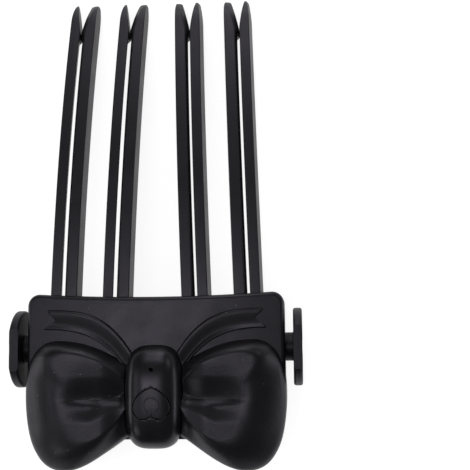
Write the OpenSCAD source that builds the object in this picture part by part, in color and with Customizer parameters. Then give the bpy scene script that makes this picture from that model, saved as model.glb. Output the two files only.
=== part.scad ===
// Heated volumizing hair clip with a bow-shaped casing, sliding combs and a heart-shaped button.
// Millimetres. The clip lies on its flat rear face: X across the bow, Y towards the tine tips, Z up
// out of the bow. The origin is on the rear face, below the axis that both push pads slide on.

/* [Casing] */
// Half of the casing's width at the push pads
case_hw = 38.2; // [37.4:0.1:39.4]
// Middle of the edge that the tines leave, measured from the pads' axis
top_y = 15.2; // [14.8:0.1:16]
// How much further the ends of that edge reach than its middle
top_sag = 1.1; // [0.2:0.1:1.6]
// Corner radius of the flat plate
corner_r = 3.5; // [2:0.5:4]
// Lowest point of the bow's lobes
lobe_low_y = -35.4; // [-36.5:0.1:-34.8]
// Bottom edge of the casing under the knot
notch_y = -26.5; // [-27:0.1:-26.4]
// Half width of that edge
notch_hw = 9.4; // [9:0.1:9.8]
// Height of the flat front plate
plate_z = 22; // [22:0.1:23]
// Height of the joint between the rear and the front cover
split_z = 12; // [11.8:0.1:12.2]
// Wall thickness of both covers
wall = 2; // [1.8:0.1:2.1]
// Highest part of the lobes' rims
rim_z = 27.2; // [26.4:0.1:28]
// Height of the ribbon tails over the plate
ribbon_h = 1.5; // [0.8:0.1:2]

/* [Knot and button] */
// Half width of the knot
knot_hw = 8.7; // [8.6:0.1:9]
// Half length of the knot
knot_hl = 15.05; // [14.9:0.05:15.3]
// Middle of the knot along the clip
knot_y = -13.95; // [-14.1:0.05:-13.8]
// Top of the knot
knot_z = 29.6; // [29.4:0.1:30.4]
// Wall of the knot
knot_wall = 1.6; // [1.4:0.1:1.7]
// Half width of the heart button
heart_hw = 5.35; // [5.2:0.05:5.5]
// Middle of the heart's two round ends
heart_y = -16.7; // [-16.9:0.1:-16.6]
// Radius of the heart's round ends
heart_r = 3.15; // [3.1:0.05:3.25]
// Travel of the button
button_travel = 0.4; // [0.3:0.05:0.45]
// Bore of the hole over the indicator light
light_hole_d = 1.2; // [1:0.1:1.4]
// Place of that hole along the clip
light_y = -5.84; // [-6:0.02:-5.7]

/* [Push pads and sliding combs] */
// Diameter of a push pad
pad_d = 23.2; // [22:0.1:23.6]
// Thickness of a push pad
pad_t = 2.7; // [2.2:0.1:3.2]
// Height of a push pad over the flats at its front and back
pad_h = 19.4; // [18.4:0.1:20]
// Gap from the casing to a pad at rest
pad_gap = 2.5; // [2.4:0.1:3]
// Travel of a pad
pad_travel = 2.2; // [1.6:0.1:2.3]
// Diameter of a pad's stem
stem_d = 8.5; // [8:0.1:8.7]
// Height of the pads' axis over the rear face
axis_z = 12; // [11.9:0.1:12.2]

/* [Tines] */
// Length of a tine outside the casing
tine_len = 95; // [80:1:100]
// Radius of the tines' curve, on the front
tine_r = 320; // [315:1:400]
// Depth of a tine from front to back
tine_t = 5.7; // [5.6:0.05:5.8]
// Width of the flat front of a tine
tine_face = 3.2; // [3:0.05:3.3]
// Width of the slot between the two tines of a pair
slot_w = 0.7; // [0.6:0.05:0.8]
// Distance of the outer pairs' slot from the side of the casing, where the tines leave it
slot_inset = 10.05; // [9.9:0.05:10.3]
// The inner pairs' slot, as a share of the outer pairs' distance from the middle plane
inner_share = 0.444; // [0.438:0.002:0.45]
// Angle that the tines lean towards the middle
lean = 1.94; // [1.5:0.02:2.1]
// Length of the V-shaped lead-in at the tips
lead_in = 12.5; // [10:0.5:15]

/* [Power] */
// Length of the battery, across the clip
battery_l = 40; // [36:0.5:41]
// Width of the battery
battery_w = 17.5; // [16:0.5:17.5]
// Thickness of the battery
battery_t = 6; // [5:0.1:8]
// Thickness of the circuit board
board_t = 1.2; // [1:0.1:1.4]
// Width of the charging inlet's shell
inlet_w = 8.94; // [8.8:0.02:9]
// Height of the charging inlet's shell
inlet_h = 3.26; // [3.2:0.02:3.3]
// Depth of the charging inlet's shell
inlet_l = 7.3; // [7:0.1:7.6]

/* [Fits] */
// Gap between a piece that slides and what it slides past
slide_gap = 0.3; // [0.25:0.01:0.32]
// Radial gap of a stem in its hole
stem_gap = 0.1; // [0.08:0.01:0.15]
// Gap round the heart button, and round the knot in its pocket
shadow_gap = 0.22; // [0.2:0.01:0.25]

/* [Hidden] */
$fn = 72;
eps = 0.01;

// Curves

function smooth(t) = let (c = max(0, min(1, t))) c * c * (3 - 2 * c);
function mix(a, b, t) = a + (b - a) * t;
function bezier(a, b, c, d, n) = [
    for (i = [0 : n - 1])
        let (t = i / n, s = 1 - t)
        s * s * s * a + 3 * s * s * t * b + 3 * s * t * t * c + t * t * t * d
];
function arc(centre, r, from, to, n) = [
    for (i = [0 : n]) let (a = mix(from, to, i / n)) centre + r * [cos(a), sin(a)]
];
function mirrored(points) = [for (i = [len(points) - 1 : -1 : 0]) [-points[i][0], points[i][1]]];

// Each point of a clockwise outline moved inwards, square to its two neighbours
function inset(points, d) = [
    for (i = [0 : len(points) - 1])
        let (
            n = len(points),
            t = points[(i + 1) % n] - points[(i + n - 1) % n],
            inward = [t[1], -t[0]] / norm(t)
        )
        points[i] + d * inward
];

// Triangles between rings of n points each, up to the ring with the number last
function ring_sides(n, last) = [
    for (k = [0 : last - 1], i = [0 : n - 1], half = [0, 1])
        let (j = (i + 1) % n, a = k * n + i, b = k * n + j)
        half == 0 ? [a, b, b + n] : [a, b + n, a + n]
];

// A closed solid through rings of points, from the bottom up, with a hub in both end faces
module through(rings, bottom_hub, top_hub) {
    n = len(rings[0]);
    last = len(rings) - 1;
    points = concat([for (r = rings) for (p = r) p], [bottom_hub, top_hub]);
    bottom = [for (i = [0 : n - 1]) [(i + 1) % n, i, (last + 1) * n]];
    top = [for (i = [0 : n - 1]) [last * n + i, last * n + (i + 1) % n, (last + 1) * n + 1]];
    polyhedron(points, concat(bottom, ring_sides(n, last), top), convexity = 8);
}

// The same through level outlines, each [outline, height], round a point that sees all of them
module loft(levels, middle) {
    through([for (l = levels) [for (p = l[0]) [p[0], p[1], l[1]]]],
            [middle[0], middle[1], levels[0][1]],
            [middle[0], middle[1], levels[len(levels) - 1][1]]);
}

module left_right() {
    children();
    mirror([1, 0, 0]) children();
}

// Outline of the casing, clockwise from the middle of its top edge

side_end = [case_hw + 0.1, -9];
lobe_corner = [case_hw - 2.9, lobe_low_y + 5];
lobe_low = [case_hw - 12.7, lobe_low_y];
top_edge = [
    for (i = [0 : 5]) let (f = i / 6) [f * (case_hw - corner_r), top_y + top_sag * f * f]
];
corner = arc([case_hw - corner_r, top_y + top_sag - corner_r], corner_r, 90, 0, 5);
lobe_side = concat(
    bezier(side_end, side_end + [0.6, -6], lobe_corner + [3.3, 5.2], lobe_corner, 6),
    bezier(lobe_corner, lobe_corner + [-2.3, -4.2], lobe_low + [4, -0.6], lobe_low, 4),
    bezier(lobe_low, lobe_low + [-5.5, 0.8], [notch_hw + 5.6, notch_y - 4], [notch_hw, notch_y], 5)
);
half_outline = concat(top_edge, corner, lobe_side, [[notch_hw, notch_y]]);
casing_hub = [0, -10];
outline = concat(half_outline, [for (p = mirrored(half_outline)) if (p[0] < -eps) p]);

// Relief of a lobe: a puffed rim round a dished middle, with folds that fan out from the knot

hub = [7, -13];
hidden_x = 3;
shoulder = [case_hw - 9.2, 2.5];
shoulder_run = 9;
lobe_outline = concat(
    bezier([hidden_x, -8], [hub[0] + 5, -1], shoulder - [shoulder_run, -0.1], shoulder, 8),
    bezier(shoulder, shoulder + [5.5, -0.1], side_end + [-0.7, 7], side_end, 6),
    lobe_side,
    [[notch_hw, notch_y], [hidden_x, -25]]
);
fold_y = -15;
rim_run = 7;
side_top_z = 16;
dish_depth = 1.6;
fold_depth = 2.4;

// Share of a point's edge that lies on the plate, against the free side of the casing
function on_plate(p) = smooth((p[1] + 8) / 8);
// Quarter of an ellipse, from 0 at the edge to 1 at its top
function rounding(t) = let (c = max(0, min(1, t))) sqrt(1 - (1 - c) * (1 - c));
function fold_fade(r) = 1 - smooth((r - 13) / 15);
function fold_angle(p) = atan2(p[1] - fold_y, p[0]);
function folds(p) =
    let (a = fold_angle(p), f = fold_fade(norm(p - [0, fold_y])))
    f * (fold_depth * (0.5 * exp(-pow((a - 30) / 16, 2)) - exp(-pow(a / 8, 2)))
         + 0.9 * exp(-pow((a + 14) / 9, 2)));
function dish(d) = dish_depth * smooth((d - 0.8 * rim_run) / 8);
// Height over an edge point, at a distance d from it towards the hub
function lobe_height(edge, p, d) =
    let (
        foot = mix(side_top_z, plate_z - 1, on_plate(edge)),
        run = mix(rim_run, 0.7 * rim_run, on_plate(edge)),
        lift = smooth(d / run)
    )
    foot + (rim_z - foot) * rounding(d / run) + lift * (folds(p) - dish(d));

// A lobe, or with a depth the space left inside a wall of that thickness
module lobe(depth, shares) {
    rim = depth > 0 ? inset(lobe_outline, depth) : lobe_outline;
    n = len(rim);
    function at(i, s) = hub + s * (rim[i] - hub);
    function height(i, s) =
        let (p = at(i, s), d = norm(lobe_outline[i] - p)) lobe_height(lobe_outline[i], p, d) - depth;
    base = split_z - depth;
    rings = concat(
        [[for (i = [0 : n - 1]) [rim[i][0], rim[i][1], base]]],
        [for (s = shares) [for (i = [0 : n - 1]) let (p = at(i, s)) [p[0], p[1], height(i, s)]]]
    );
    through(rings, [hub[0], hub[1], base], [hub[0], hub[1], height(0, 0)]);
}

// Ribbon tails: bands that curl out from under the knot and end in a swallow tail. Their upper edge
// lies almost on the plate, and their lower edge stands up as a rounded lip.

ribbon_end = [case_hw - 6.1, 11.4];
ribbon_foot = [case_hw - 5.3, 5.8];
ribbon_bend = shoulder[0] - 7.5;
ribbon_n = 12;
ribbon_upper = concat(
    bezier([5, -4], [ribbon_bend - 8, 11], [ribbon_bend - 0.5, 11.3], ribbon_end, ribbon_n), [ribbon_end]
);
ribbon_lower = concat(
    bezier([8.5, -6], [ribbon_bend - 6.5, 3.6], [ribbon_bend + 1, 6], ribbon_foot, ribbon_n), [ribbon_foot]
);
ribbon_base = plate_z - 1;
swallow_depth = 2.7;
// Points across the band, as [share from the upper to the lower edge, share of the full height]
ribbon_profile = [[1, 0.75], [0.95, 1], [0.85, 0.95], [0.65, 0.6], [0.3, 0.4], [0, 0.15]];

module ribbons() {
    rings = [
        for (k = [0 : ribbon_n])
            let (u = ribbon_upper[k], l = ribbon_lower[k])
            concat([[u[0], u[1], ribbon_base], [l[0], l[1], ribbon_base]],
                   [for (q = ribbon_profile)
                       let (p = mix(u, l, q[0])) [p[0], p[1], plate_z + q[1] * ribbon_h]])
    ];
    root_hub = [(ribbon_upper[0][0] + ribbon_lower[0][0]) / 2, -5, plate_z - 0.5];
    tail_hub = [ribbon_end[0] + 0.4 - swallow_depth, 8.3, plate_z - 0.5];
    left_right() through(rings, root_hub, tail_hub);
}

// Knot: a domed pill on a superellipse

knot_power = 3.3;
dome_power = 2.7;
knot_base_z = plate_z - 2;
function superellipse(a, b, n, count) = [
    for (i = [0 : count - 1])
        let (t = 90 - 360 * i / count, c = cos(t), s = sin(t))
        [a * sign(c) * pow(abs(c), 2 / n), b * sign(s) * pow(abs(s), 2 / n)]
];
function knot_ring(hw, hl, s, count) = [
    for (p = superellipse(hw * s, hl * s, knot_power, count)) p + [0, knot_y]
];
function dome(s) = pow(1 - pow(s, dome_power), 1 / dome_power);

// The knot's outer form, or with a depth the hollow inside a wall of that thickness
module knot_form(depth, lift) {
    h = knot_z + lift - depth - knot_base_z;
    shares = [1, 0.99, 0.965, 0.92, 0.86, 0.78, 0.66, 0.5, 0.3, 0.08];
    loft([for (s = shares) [knot_ring(knot_hw - depth, knot_hl - depth, s, 44),
                            knot_base_z + h * dome(s)]], [0, knot_y]);
}

module knot_column(gap, from, to) {
    translate([0, 0, from]) linear_extrude(to - from) polygon(knot_ring(knot_hw + gap, knot_hl + gap, 1, 44));
}

// Heart outline, grown by a gap
heart_tip_y = heart_y + 5.8;
heart_lobe_x = heart_hw - heart_r;
heart_cusp_a = -acos(-heart_lobe_x / heart_r);
half_heart = concat(
    bezier([0, heart_tip_y], [2.6, heart_tip_y - 0.7], [heart_hw - 0.2, heart_y + 2.8],
           [heart_hw, heart_y], 6),
    arc([heart_lobe_x, heart_y], heart_r, 0, heart_cusp_a, 7)
);
heart = concat(half_heart, [for (p = mirrored(half_heart)) if (p[0] < -eps) p]);

// Places inside the casing

floor_z = wall;
deck_z = plate_z - wall;
board_top = deck_z - 1.2;
board_z = board_top - board_t;
board_lug = [8.6, -8.5];
board_lug_low = [8.6, -18.9];
knot_lug = [0, -2.2];
knot_lug_low = [6.6, -22.7];
case_lugs = [[case_hw - 3.3, 9.5], [case_hw - 11.2, -28]];
lug_r = 2.4;
screw_sink = 2.6;
head_t = 1.2;
screw_r = 1;
head_r = 1.6;
switch_w = 6;
switch_h = 3.2;
led_h = 0.7;
plunger_r = 1.7;
plunger_z = board_top + switch_h - 0.6;
plunger_top = plunger_z + 2.5;
flange_w = 0.5;
flange_t = 0.8;
flange_top = knot_base_z - 0.3 + (knot_z - knot_wall - knot_base_z)
    * dome((heart_hw + flange_w) / (knot_hw - knot_wall));
button_foot = flange_top - flange_t;

// Tines and combs. Across a pair, distances count from the outer tine's slot edge to the middle.

front_z = deck_z - 0.05;
outer_slot_x = case_hw - slot_inset;
inner_slot_x = inner_share * outer_slot_x;
tine_edge = 0.35;
outer_draft = 0.75;
inner_draft = 0.5;
outer_taper = 1;
inner_taper = 0.45;
chamfer_w = 0.75;
chamfer_d = 1.4;
rail_front = 12;
rail_back = 6;
rail_split = front_z - tine_t / 2 - 0.1;
rail_base = front_z - tine_t;
root_front = rail_front + 0.45;
inner_face = slot_w + chamfer_w;
pair_far = inner_face + tine_face + inner_draft;
pair_near = -tine_face - outer_draft;
rail_hw = outer_slot_x - pair_near - 0.1;
channel_depth = 4.35;
channel_w = 1.7;
channel_t = 0.7;

// Sections across a tine as [distance to the middle, depth from the front]
outer_section = [
    [0, tine_edge], [-tine_edge, 0], [tine_edge - tine_face, 0], [-tine_face, tine_edge],
    [pair_near, tine_t - tine_edge], [pair_near + tine_edge, tine_t],
    [-outer_taper - tine_edge, tine_t], [-outer_taper, tine_t - tine_edge]
];
inner_section = [
    [slot_w, chamfer_d], [inner_face, 0], [inner_face + tine_face - tine_edge, 0],
    [inner_face + tine_face, tine_edge], [pair_far, tine_t - tine_edge],
    [pair_far - tine_edge, tine_t], [slot_w + inner_taper + tine_edge, tine_t],
    [slot_w + inner_taper, tine_t - tine_edge]
];
channel_mid = 0.15 - (tine_face + outer_draft + outer_taper) / 2;
channel_section = [
    for (p = [[-1, -1], [1, -1], [1, 1], [-1, 1]])
        [channel_mid + p[0] * channel_w / 2, channel_depth + p[1] * channel_t / 2]
];
strip_section = [
    for (p = [[-1, -1], [1, -1], [1, 1], [-1, 1]])
        [channel_mid + p[0] * (channel_w / 2 - 0.1), channel_depth + p[1] * (channel_t / 2 - 0.1)]
];

// A section swept straight from a root to the casing's edge and then along the tines' arc,
// on the right-hand side, with its distances counted from slot_x towards the middle plane
module swept(section, slot_x, root, length) {
    angle = asin(length / tine_r);
    translate([slot_x, top_y, front_z])
    rotate([0, 0, lean]) {
        translate([0, 0, -tine_r])
        rotate([0, -90, 0])
        rotate_extrude(angle = angle, $fn = 720)
            polygon([for (p = section) [tine_r - p[1], p[0]]]);
        translate([0, eps, 0])
        rotate([90, 0, 0])
        linear_extrude(top_y - root + eps) polygon([for (p = section) [-p[0], -p[1]]]);
    }
}

// Plan of the lead-in, as [distance to the middle, distance from the casing], on an outer tine
tip_r = 1;
lead_start = tine_len - lead_in;
tip_mid = tine_len - tip_r;
outer_tip = concat(
    [[30, -30], [-30, -30], [-30, tip_mid], [-tine_face - outer_draft, tip_mid]],
    arc([tip_r - tine_face, tip_mid], tip_r, 180, 20, 6),
    [[-0.5, tine_len - lead_in / 2], [0, lead_start], [30, lead_start]]
);
inner_tip = concat(
    [[30, -30], [30, tip_mid], [pair_far, tip_mid]],
    arc([inner_face + tine_face - tip_r, tip_mid], tip_r, 0, 160, 6),
    [[inner_face + 0.5, tine_len - lead_in / 2], [inner_face, lead_start], [slot_w, lead_start - 1],
     [-30, lead_start - 1], [-30, -30]]
);
// Side view of a tine's end, as [distance from the casing, drop]
nose_l = 5;
nose_t = tine_t / cos(asin(tine_len / tine_r));
nose = concat(
    [[-30, 30], [tine_len - nose_l, 30]],
    [for (i = [0 : 8])
        let (t = 90 - 180 * i / 8, v = tine_len - nose_l + nose_l * cos(t))
        [v, -tip_drop(v) - nose_t / 2 + sin(t) * nose_t / 2]],
    [[tine_len - nose_l, -60], [-30, -60]]
);
function tip_drop(v) = tine_r - sqrt(tine_r * tine_r - v * v);

module tine(section, tip, slot_x) {
    intersection() {
        swept(section, slot_x, root_front, tine_len);
        translate([slot_x, top_y, -50])
        rotate([0, 0, lean])
        linear_extrude(100) polygon([for (p = tip) [-p[0], p[1]]]);
        translate([slot_x, top_y, front_z])
        rotate([0, 0, lean])
        rotate([90, 0, 90])
        linear_extrude(60, center = true) polygon(nose);
    }
}

// Casing covers

module window(margin, from, to) {
    for (x = [outer_slot_x, inner_slot_x])
        translate([x - pair_far - pad_travel - margin, top_y - wall - 2, from])
        cube([pair_far - pair_near + pad_travel + 2 * margin, wall + 5, to - from]);
}

module stem_holes() {
    left_right()
    translate([case_hw - wall - 1, 0, axis_z])
    rotate([0, 90, 0]) cylinder(r = stem_d / 2 + stem_gap, h = wall + 4);
}

module lugs(places, r, from, to) {
    left_right()
    for (p = places)
        translate([p[0], p[1], from]) cylinder(r = r, h = to - from);
}

comb_lugs = [[(outer_slot_x + inner_slot_x) / 2 - 0.2, (rail_front + rail_back) / 2]];
post_x = 17.5;
spring_r = 3.2;

module rear_cover() {
    color([0.07, 0.07, 0.08])
    difference() {
        union() {
            difference() {
                loft([[inset(outline, 1.2), 0], [inset(outline, 0.5), 0.3], [inset(outline, 0.15), 0.8],
                      [outline, 1.6], [outline, split_z]], casing_hub);
                translate([0, 0, floor_z])
                linear_extrude(split_z) polygon(inset(outline, wall));
            }
            lugs(case_lugs, lug_r, 1, split_z);
            lugs(comb_lugs, lug_r, 1, rail_base);
            tongues();
            left_right() spring_post();
        }
        lugs(case_lugs, screw_r + 0.15, -1, split_z + 1);
        lugs(case_lugs, head_r + 0.15, -1, screw_sink);
        lugs(comb_lugs, screw_r, 6, split_z + 10);
        stem_holes();
    }
}

// Upstands that close the tines' windows from behind
module tongues() {
    left_right()
    for (x = [outer_slot_x, inner_slot_x])
        translate([x - pair_far - pad_travel + slide_gap, top_y - wall + 0.6, split_z - 2])
        cube([pair_far - pair_near + pad_travel - 2 * slide_gap, wall - 0.7, rail_base - slide_gap - split_z + 2]);
}

module spring_post() {
    translate([post_x - 2, -4, 1]) cube([2, 8, axis_z + 3]);
    translate([post_x, 0, axis_z])
    rotate([0, 90, 0]) cylinder(r = spring_r - 1.1, h = 2.5);
}

module front_cover() {
    color([0.08, 0.08, 0.09])
    difference() {
        union() {
            shell();
            lugs([board_lug, board_lug_low], 1.8, board_top, deck_z + 1);
        }
        left_right() window(slide_gap, split_z - 1, front_z + 0.1);
        stem_holes();
        lugs(case_lugs, screw_r, split_z - 1, deck_z);
        lugs([board_lug, board_lug_low], screw_r * 0.8, board_top - 1, deck_z + 0.8);
        translate([0, heart_y + 1.4, deck_z - 1]) cube([switch_w + 1, switch_w + 1, 8], center = true);
        translate([0, light_y, deck_z - 1]) cylinder(r = 1.6, h = 4);
        knot_screw_holes(screw_r + 0.1);
        inlet_cut();
    }
}

// Plate, lobes and ribbons as one hollow shell
module shell() {
    difference() {
        union() {
            plate();
            left_right() lobe(0, [1, 0.985, 0.955, 0.915, 0.86, 0.78, 0.68, 0.56, 0.44, 0.32, 0.18]);
            ribbons();
        }
        knot_column(shadow_gap, plate_z, knot_z + 5);
        cavity();
    }
}

module plate() {
    shape = concat([for (p = half_outline) if (p[1] > side_end[1] - eps) p],
                   [[case_hw - 2, -11], [notch_hw, -11], [notch_hw, notch_y]]);
    whole = concat(shape, [for (p = mirrored(shape)) if (p[0] < -eps) p]);
    loft([[whole, split_z], [whole, plate_z - 1.3], [inset(whole, 0.4), plate_z - 0.35],
          [inset(whole, 1.2), plate_z]], casing_hub);
}

module cavity() {
    inside = inset(outline, wall);
    difference() {
        union() {
            translate([0, 0, split_z - 1])
            linear_extrude(deck_z - split_z + 1)
            polygon([for (p = inside) [p[0], max(p[1], notch_y + wall)]]);
            left_right() lobe(wall + 0.05, [1, 0.94, 0.86, 0.74, 0.58, 0.4, 0.2]);
        }
        knot_column(wall, deck_z, knot_z);
        lugs(case_lugs, lug_r, split_z - 3, knot_z);
    }
}

module inlet_cut() {
    translate([0, notch_y, board_z - inlet_h / 2])
    cube([inlet_w + 0.3, 4 * wall, inlet_h + 0.3], center = true);
}

module knot_screw_holes(r) {
    lugs([knot_lug_low], r, deck_z - 1, plate_z + 1);
    translate([knot_lug[0], knot_lug[1], deck_z - 1]) cylinder(r = r, h = wall + 2);
}

module knot_cover() {
    color([0.09, 0.09, 0.1])
    difference() {
        union() {
            difference() {
                knot_form(0, 0);
                knot_form(knot_wall, 0);
                translate([0, notch_y - slide_gap + 50, plate_z - 50]) cube(100, center = true);
            }
            intersection() {
                knot_form(0.2, 0);
                union() {
                    lugs([knot_lug_low], 2, plate_z, knot_z);
                    translate([knot_lug[0], knot_lug[1], plate_z]) cylinder(r = 2, h = 10);
                }
            }
        }
        translate([0, 0, plate_z]) linear_extrude(20) polygon(inset(heart, -shadow_gap));
        translate([0, light_y, plate_z]) cylinder(d = light_hole_d, h = 20);
        lugs([knot_lug_low], screw_r * 0.8, plate_z - 1, plate_z + 3.5);
        translate([knot_lug[0], knot_lug[1], plate_z - 1]) cylinder(r = screw_r * 0.8, h = 4.5);
    }
}

symbol_y = heart_y + 0.85;
symbol_r = 2.35;
symbol_w = 0.5;

module power_button() {
    color([0.1, 0.1, 0.11]) {
        intersection() {
            translate([0, 0, button_foot]) linear_extrude(knot_z - button_foot + 1) polygon(heart);
            knot_form(0, 0.12);
        }
        translate([0, 0, button_foot])
        linear_extrude(flange_t) polygon(inset(heart, -flange_w));
        translate([0, heart_y + 1.4, plunger_top]) cylinder(r = 1.5, h = button_foot - plunger_top + eps);
        power_symbol();
    }
}

// Raised ring, open towards the lobes, with a short bar in its opening
module power_symbol() {
    base = knot_z - 1;
    top = knot_z + 0.3;
    translate([0, symbol_y, base])
    rotate([0, 0, -62])
    rotate_extrude(angle = 304)
    translate([symbol_r - symbol_w, 0]) square([symbol_w, top - base]);
    translate([-symbol_w / 2, symbol_y - symbol_r - 0.8, base]) cube([symbol_w, 2.1, top - base - 0.1]);
}

module switch_plunger() {
    color([0.15, 0.15, 0.15])
    translate([0, heart_y + 1.4, plunger_z]) cylinder(r = plunger_r, h = plunger_top - plunger_z);
}

module tact_switch() {
    color([0.75, 0.75, 0.77])
    difference() {
        translate([-switch_w / 2, heart_y + 1.4 - switch_w / 2, board_top]) cube([switch_w, switch_w, switch_h]);
        translate([0, heart_y + 1.4, plunger_z - 0.6]) cylinder(r = plunger_r + 0.08, h = 8);
    }
}

module light_pipe() {
    foot = board_top + led_h;
    skin = knot_base_z + (knot_z - knot_base_z) * dome((light_y - knot_y) / knot_hl);
    color([0.85, 0.87, 0.9])
    translate([0, light_y, foot]) {
        cylinder(r = 1.2, h = skin - knot_wall - 0.9 - foot);
        cylinder(d = light_hole_d - 0.1, h = skin - 0.9 - foot);
    }
}

module indicator_light() {
    color([0.9, 0.9, 0.85])
    translate([-0.8, light_y - 0.4, board_top]) cube([1.6, 0.8, led_h]);
}

board_hw = 11;
board_top_y = -4.4;
board_low_y = -21.2;
board_tail_hw = 4.7;
board_tail_y = notch_y + wall + 0.4;
half_board = [
    [board_hw, board_top_y], [board_hw, board_low_y], [board_tail_hw, board_low_y],
    [board_tail_hw, board_tail_y]
];

module circuit_board() {
    color([0.05, 0.3, 0.12])
    difference() {
        translate([0, 0, board_z]) linear_extrude(board_t)
            polygon(concat(half_board, mirrored(half_board)));
        lugs([board_lug, board_lug_low], screw_r, board_z - 1, board_top + 1);
    }
}

// Chips under the board, each as [corner, size]
chips = [
    [[-3, board_top_y - 9.6], [5, 4, 1.4]],
    [[board_hw - 6.8, board_top_y - 8.6], [3, 3, 1.1]],
    [[3.5 - board_hw, board_top_y - 12.1], [3, 1.6, 1]]
];

module control_chips() {
    color([0.1, 0.1, 0.1])
    for (c = chips)
        translate([c[0][0], c[0][1], board_z - c[1][2]]) cube(c[1]);
}

module charging_inlet() {
    r = inlet_h / 2 - eps;
    color([0.8, 0.8, 0.82])
    translate([0, notch_y + 0.3, board_z - inlet_h / 2])
    rotate([-90, 0, 0])
    difference() {
        linear_extrude(inlet_l) rounded_slot(inlet_w, inlet_h, r);
        translate([0, 0, -1])
        linear_extrude(inlet_l) rounded_slot(inlet_w - 0.6, inlet_h - 0.6, r - 0.3);
    }
}

module rounded_slot(w, h, r) {
    square([w - 2 * r, h], center = true);
    for (x = [-1, 1]) translate([x * (w / 2 - r), 0]) circle(r);
}

module inlet_tongue() {
    color([0.1, 0.1, 0.1])
    translate([-3.35, notch_y + 0.8, board_z - inlet_h / 2 - 0.35]) cube([6.7, inlet_l - 1.5, 0.7]);
}

pad_under_t = 0.5;
battery_top = floor_z + pad_under_t + battery_t;
battery_y = notch_y + wall + 1.5;

module battery() {
    color([0.7, 0.72, 0.75])
    translate([-battery_l / 2, battery_y, floor_z + pad_under_t]) cube([battery_l, battery_w, battery_t]);
}

module battery_pad() {
    color([0.2, 0.2, 0.2])
    translate([2 - battery_l / 2, battery_y + 2, floor_z]) cube([battery_l - 4, battery_w - 4, pad_under_t]);
}

// A round wire through a list of points
module wire(path, d, sides) {
    n = len(path);
    function tangent(i) = path[min(n - 1, i + 1)] - path[max(0, i - 1)];
    function unit(v) = v / norm(v);
    function side(i) = unit(cross(tangent(i), [0.13, 1, 0.21]));
    function ring(i) =
        let (u = side(i), v = unit(cross(tangent(i), u)))
        [for (k = [0 : sides - 1]) let (a = 360 * k / sides) path[i] + d / 2 * (cos(a) * u - sin(a) * v)];
    points = [for (i = [0 : n - 1]) for (p = ring(i)) p];
    start = [for (k = [sides - 1 : -1 : 0]) k];
    end = [for (k = [0 : sides - 1]) (n - 1) * sides + k];
    polyhedron(points, concat([start], ring_sides(sides, n - 1), [end]), convexity = 4);
}

function curve3(a, b, c, d, n) = concat(bezier(a, b, c, d, n), [d]);

lead_d = 0.9;
lead_sides = 8;
lead_x = battery_l / 2 - 6;

module battery_leads() {
    for (s = [-1, 1])
        color(s > 0 ? [0.7, 0.05, 0.05] : [0.05, 0.05, 0.05])
        wire(curve3([lead_x, s * 1.2 - 14, battery_top + 0.1], [lead_x, s * 1.2 - 14, battery_top + 5],
                    [board_hw - 1.2, s * 1.2 - 13.5, board_z - 5],
                    [board_hw - 1.2, s * 1.2 - 13.5, board_z - 0.1], 8), lead_d, lead_sides);
}

module heater_leads() {
    for (s = [-1, 1])
        color([0.8, 0.2, 0.1])
        wire(curve3([s * 3, rail_back - 2.5, rail_base + 1], [s * 3, rail_back - 8, rail_base + 1],
                    [s * 3, board_top_y - 1.4, board_z - 4], [s * 3, board_top_y - 1.4, board_z - 0.1], 8),
             lead_d, lead_sides);
}

bus_t = 0.3;

module fixed_comb() {
    color([0.09, 0.09, 0.1])
    difference() {
        union() {
            left_right() {
                tine(outer_section, outer_tip, outer_slot_x);
                tine(outer_section, outer_tip, inner_slot_x);
                for (x = [outer_slot_x, inner_slot_x])
                    translate([x + outer_taper + 0.1, rail_front - 1, rail_base + 0.3])
                    cube([-pair_near - outer_taper - 0.3, 1.6, rail_split - rail_base - 0.3]);
            }
            translate([-rail_hw, rail_back, rail_base]) cube([2 * rail_hw, rail_front - rail_back, rail_split - rail_base]);
        }
        left_right()
            for (x = [outer_slot_x, inner_slot_x])
                swept(channel_section, x, rail_back - 1, tine_len - lead_in);
        lugs(comb_lugs, screw_r + 0.15, rail_base - 1, rail_split + 1);
        lugs(comb_lugs, head_r + 0.15, rail_split - head_t, rail_split + 1);
    }
}

module heater_strips() {
    color([0.75, 0.45, 0.2]) {
        left_right()
            for (x = [outer_slot_x, inner_slot_x])
                swept(strip_section, x, rail_back - bus_t / 2, tine_len - lead_in - 1);
        translate([channel_mid - outer_slot_x, rail_back - bus_t, front_z - channel_depth - 1])
            cube([2 * (outer_slot_x - channel_mid), bus_t, 2]);
    }
}

module thermal_cutout() {
    color([0.85, 0.85, 0.8])
    translate([-4, rail_back - bus_t - 2.1, rail_base]) cube([8, 2.1, 2.4]);
}

module comb_screws() {
    color([0.7, 0.7, 0.72]) {
        lugs(comb_lugs, head_r, rail_split - head_t, rail_split);
        lugs(comb_lugs, screw_r - 0.02, 7, rail_split - 1.1);
    }
}

// Sliding comb, on the right-hand side

bracket_out = case_hw - wall - 3;
bracket_t = 4;
comb_rail_top = deck_z - slide_gap;
comb_rail_base = rail_split + slide_gap;

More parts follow.
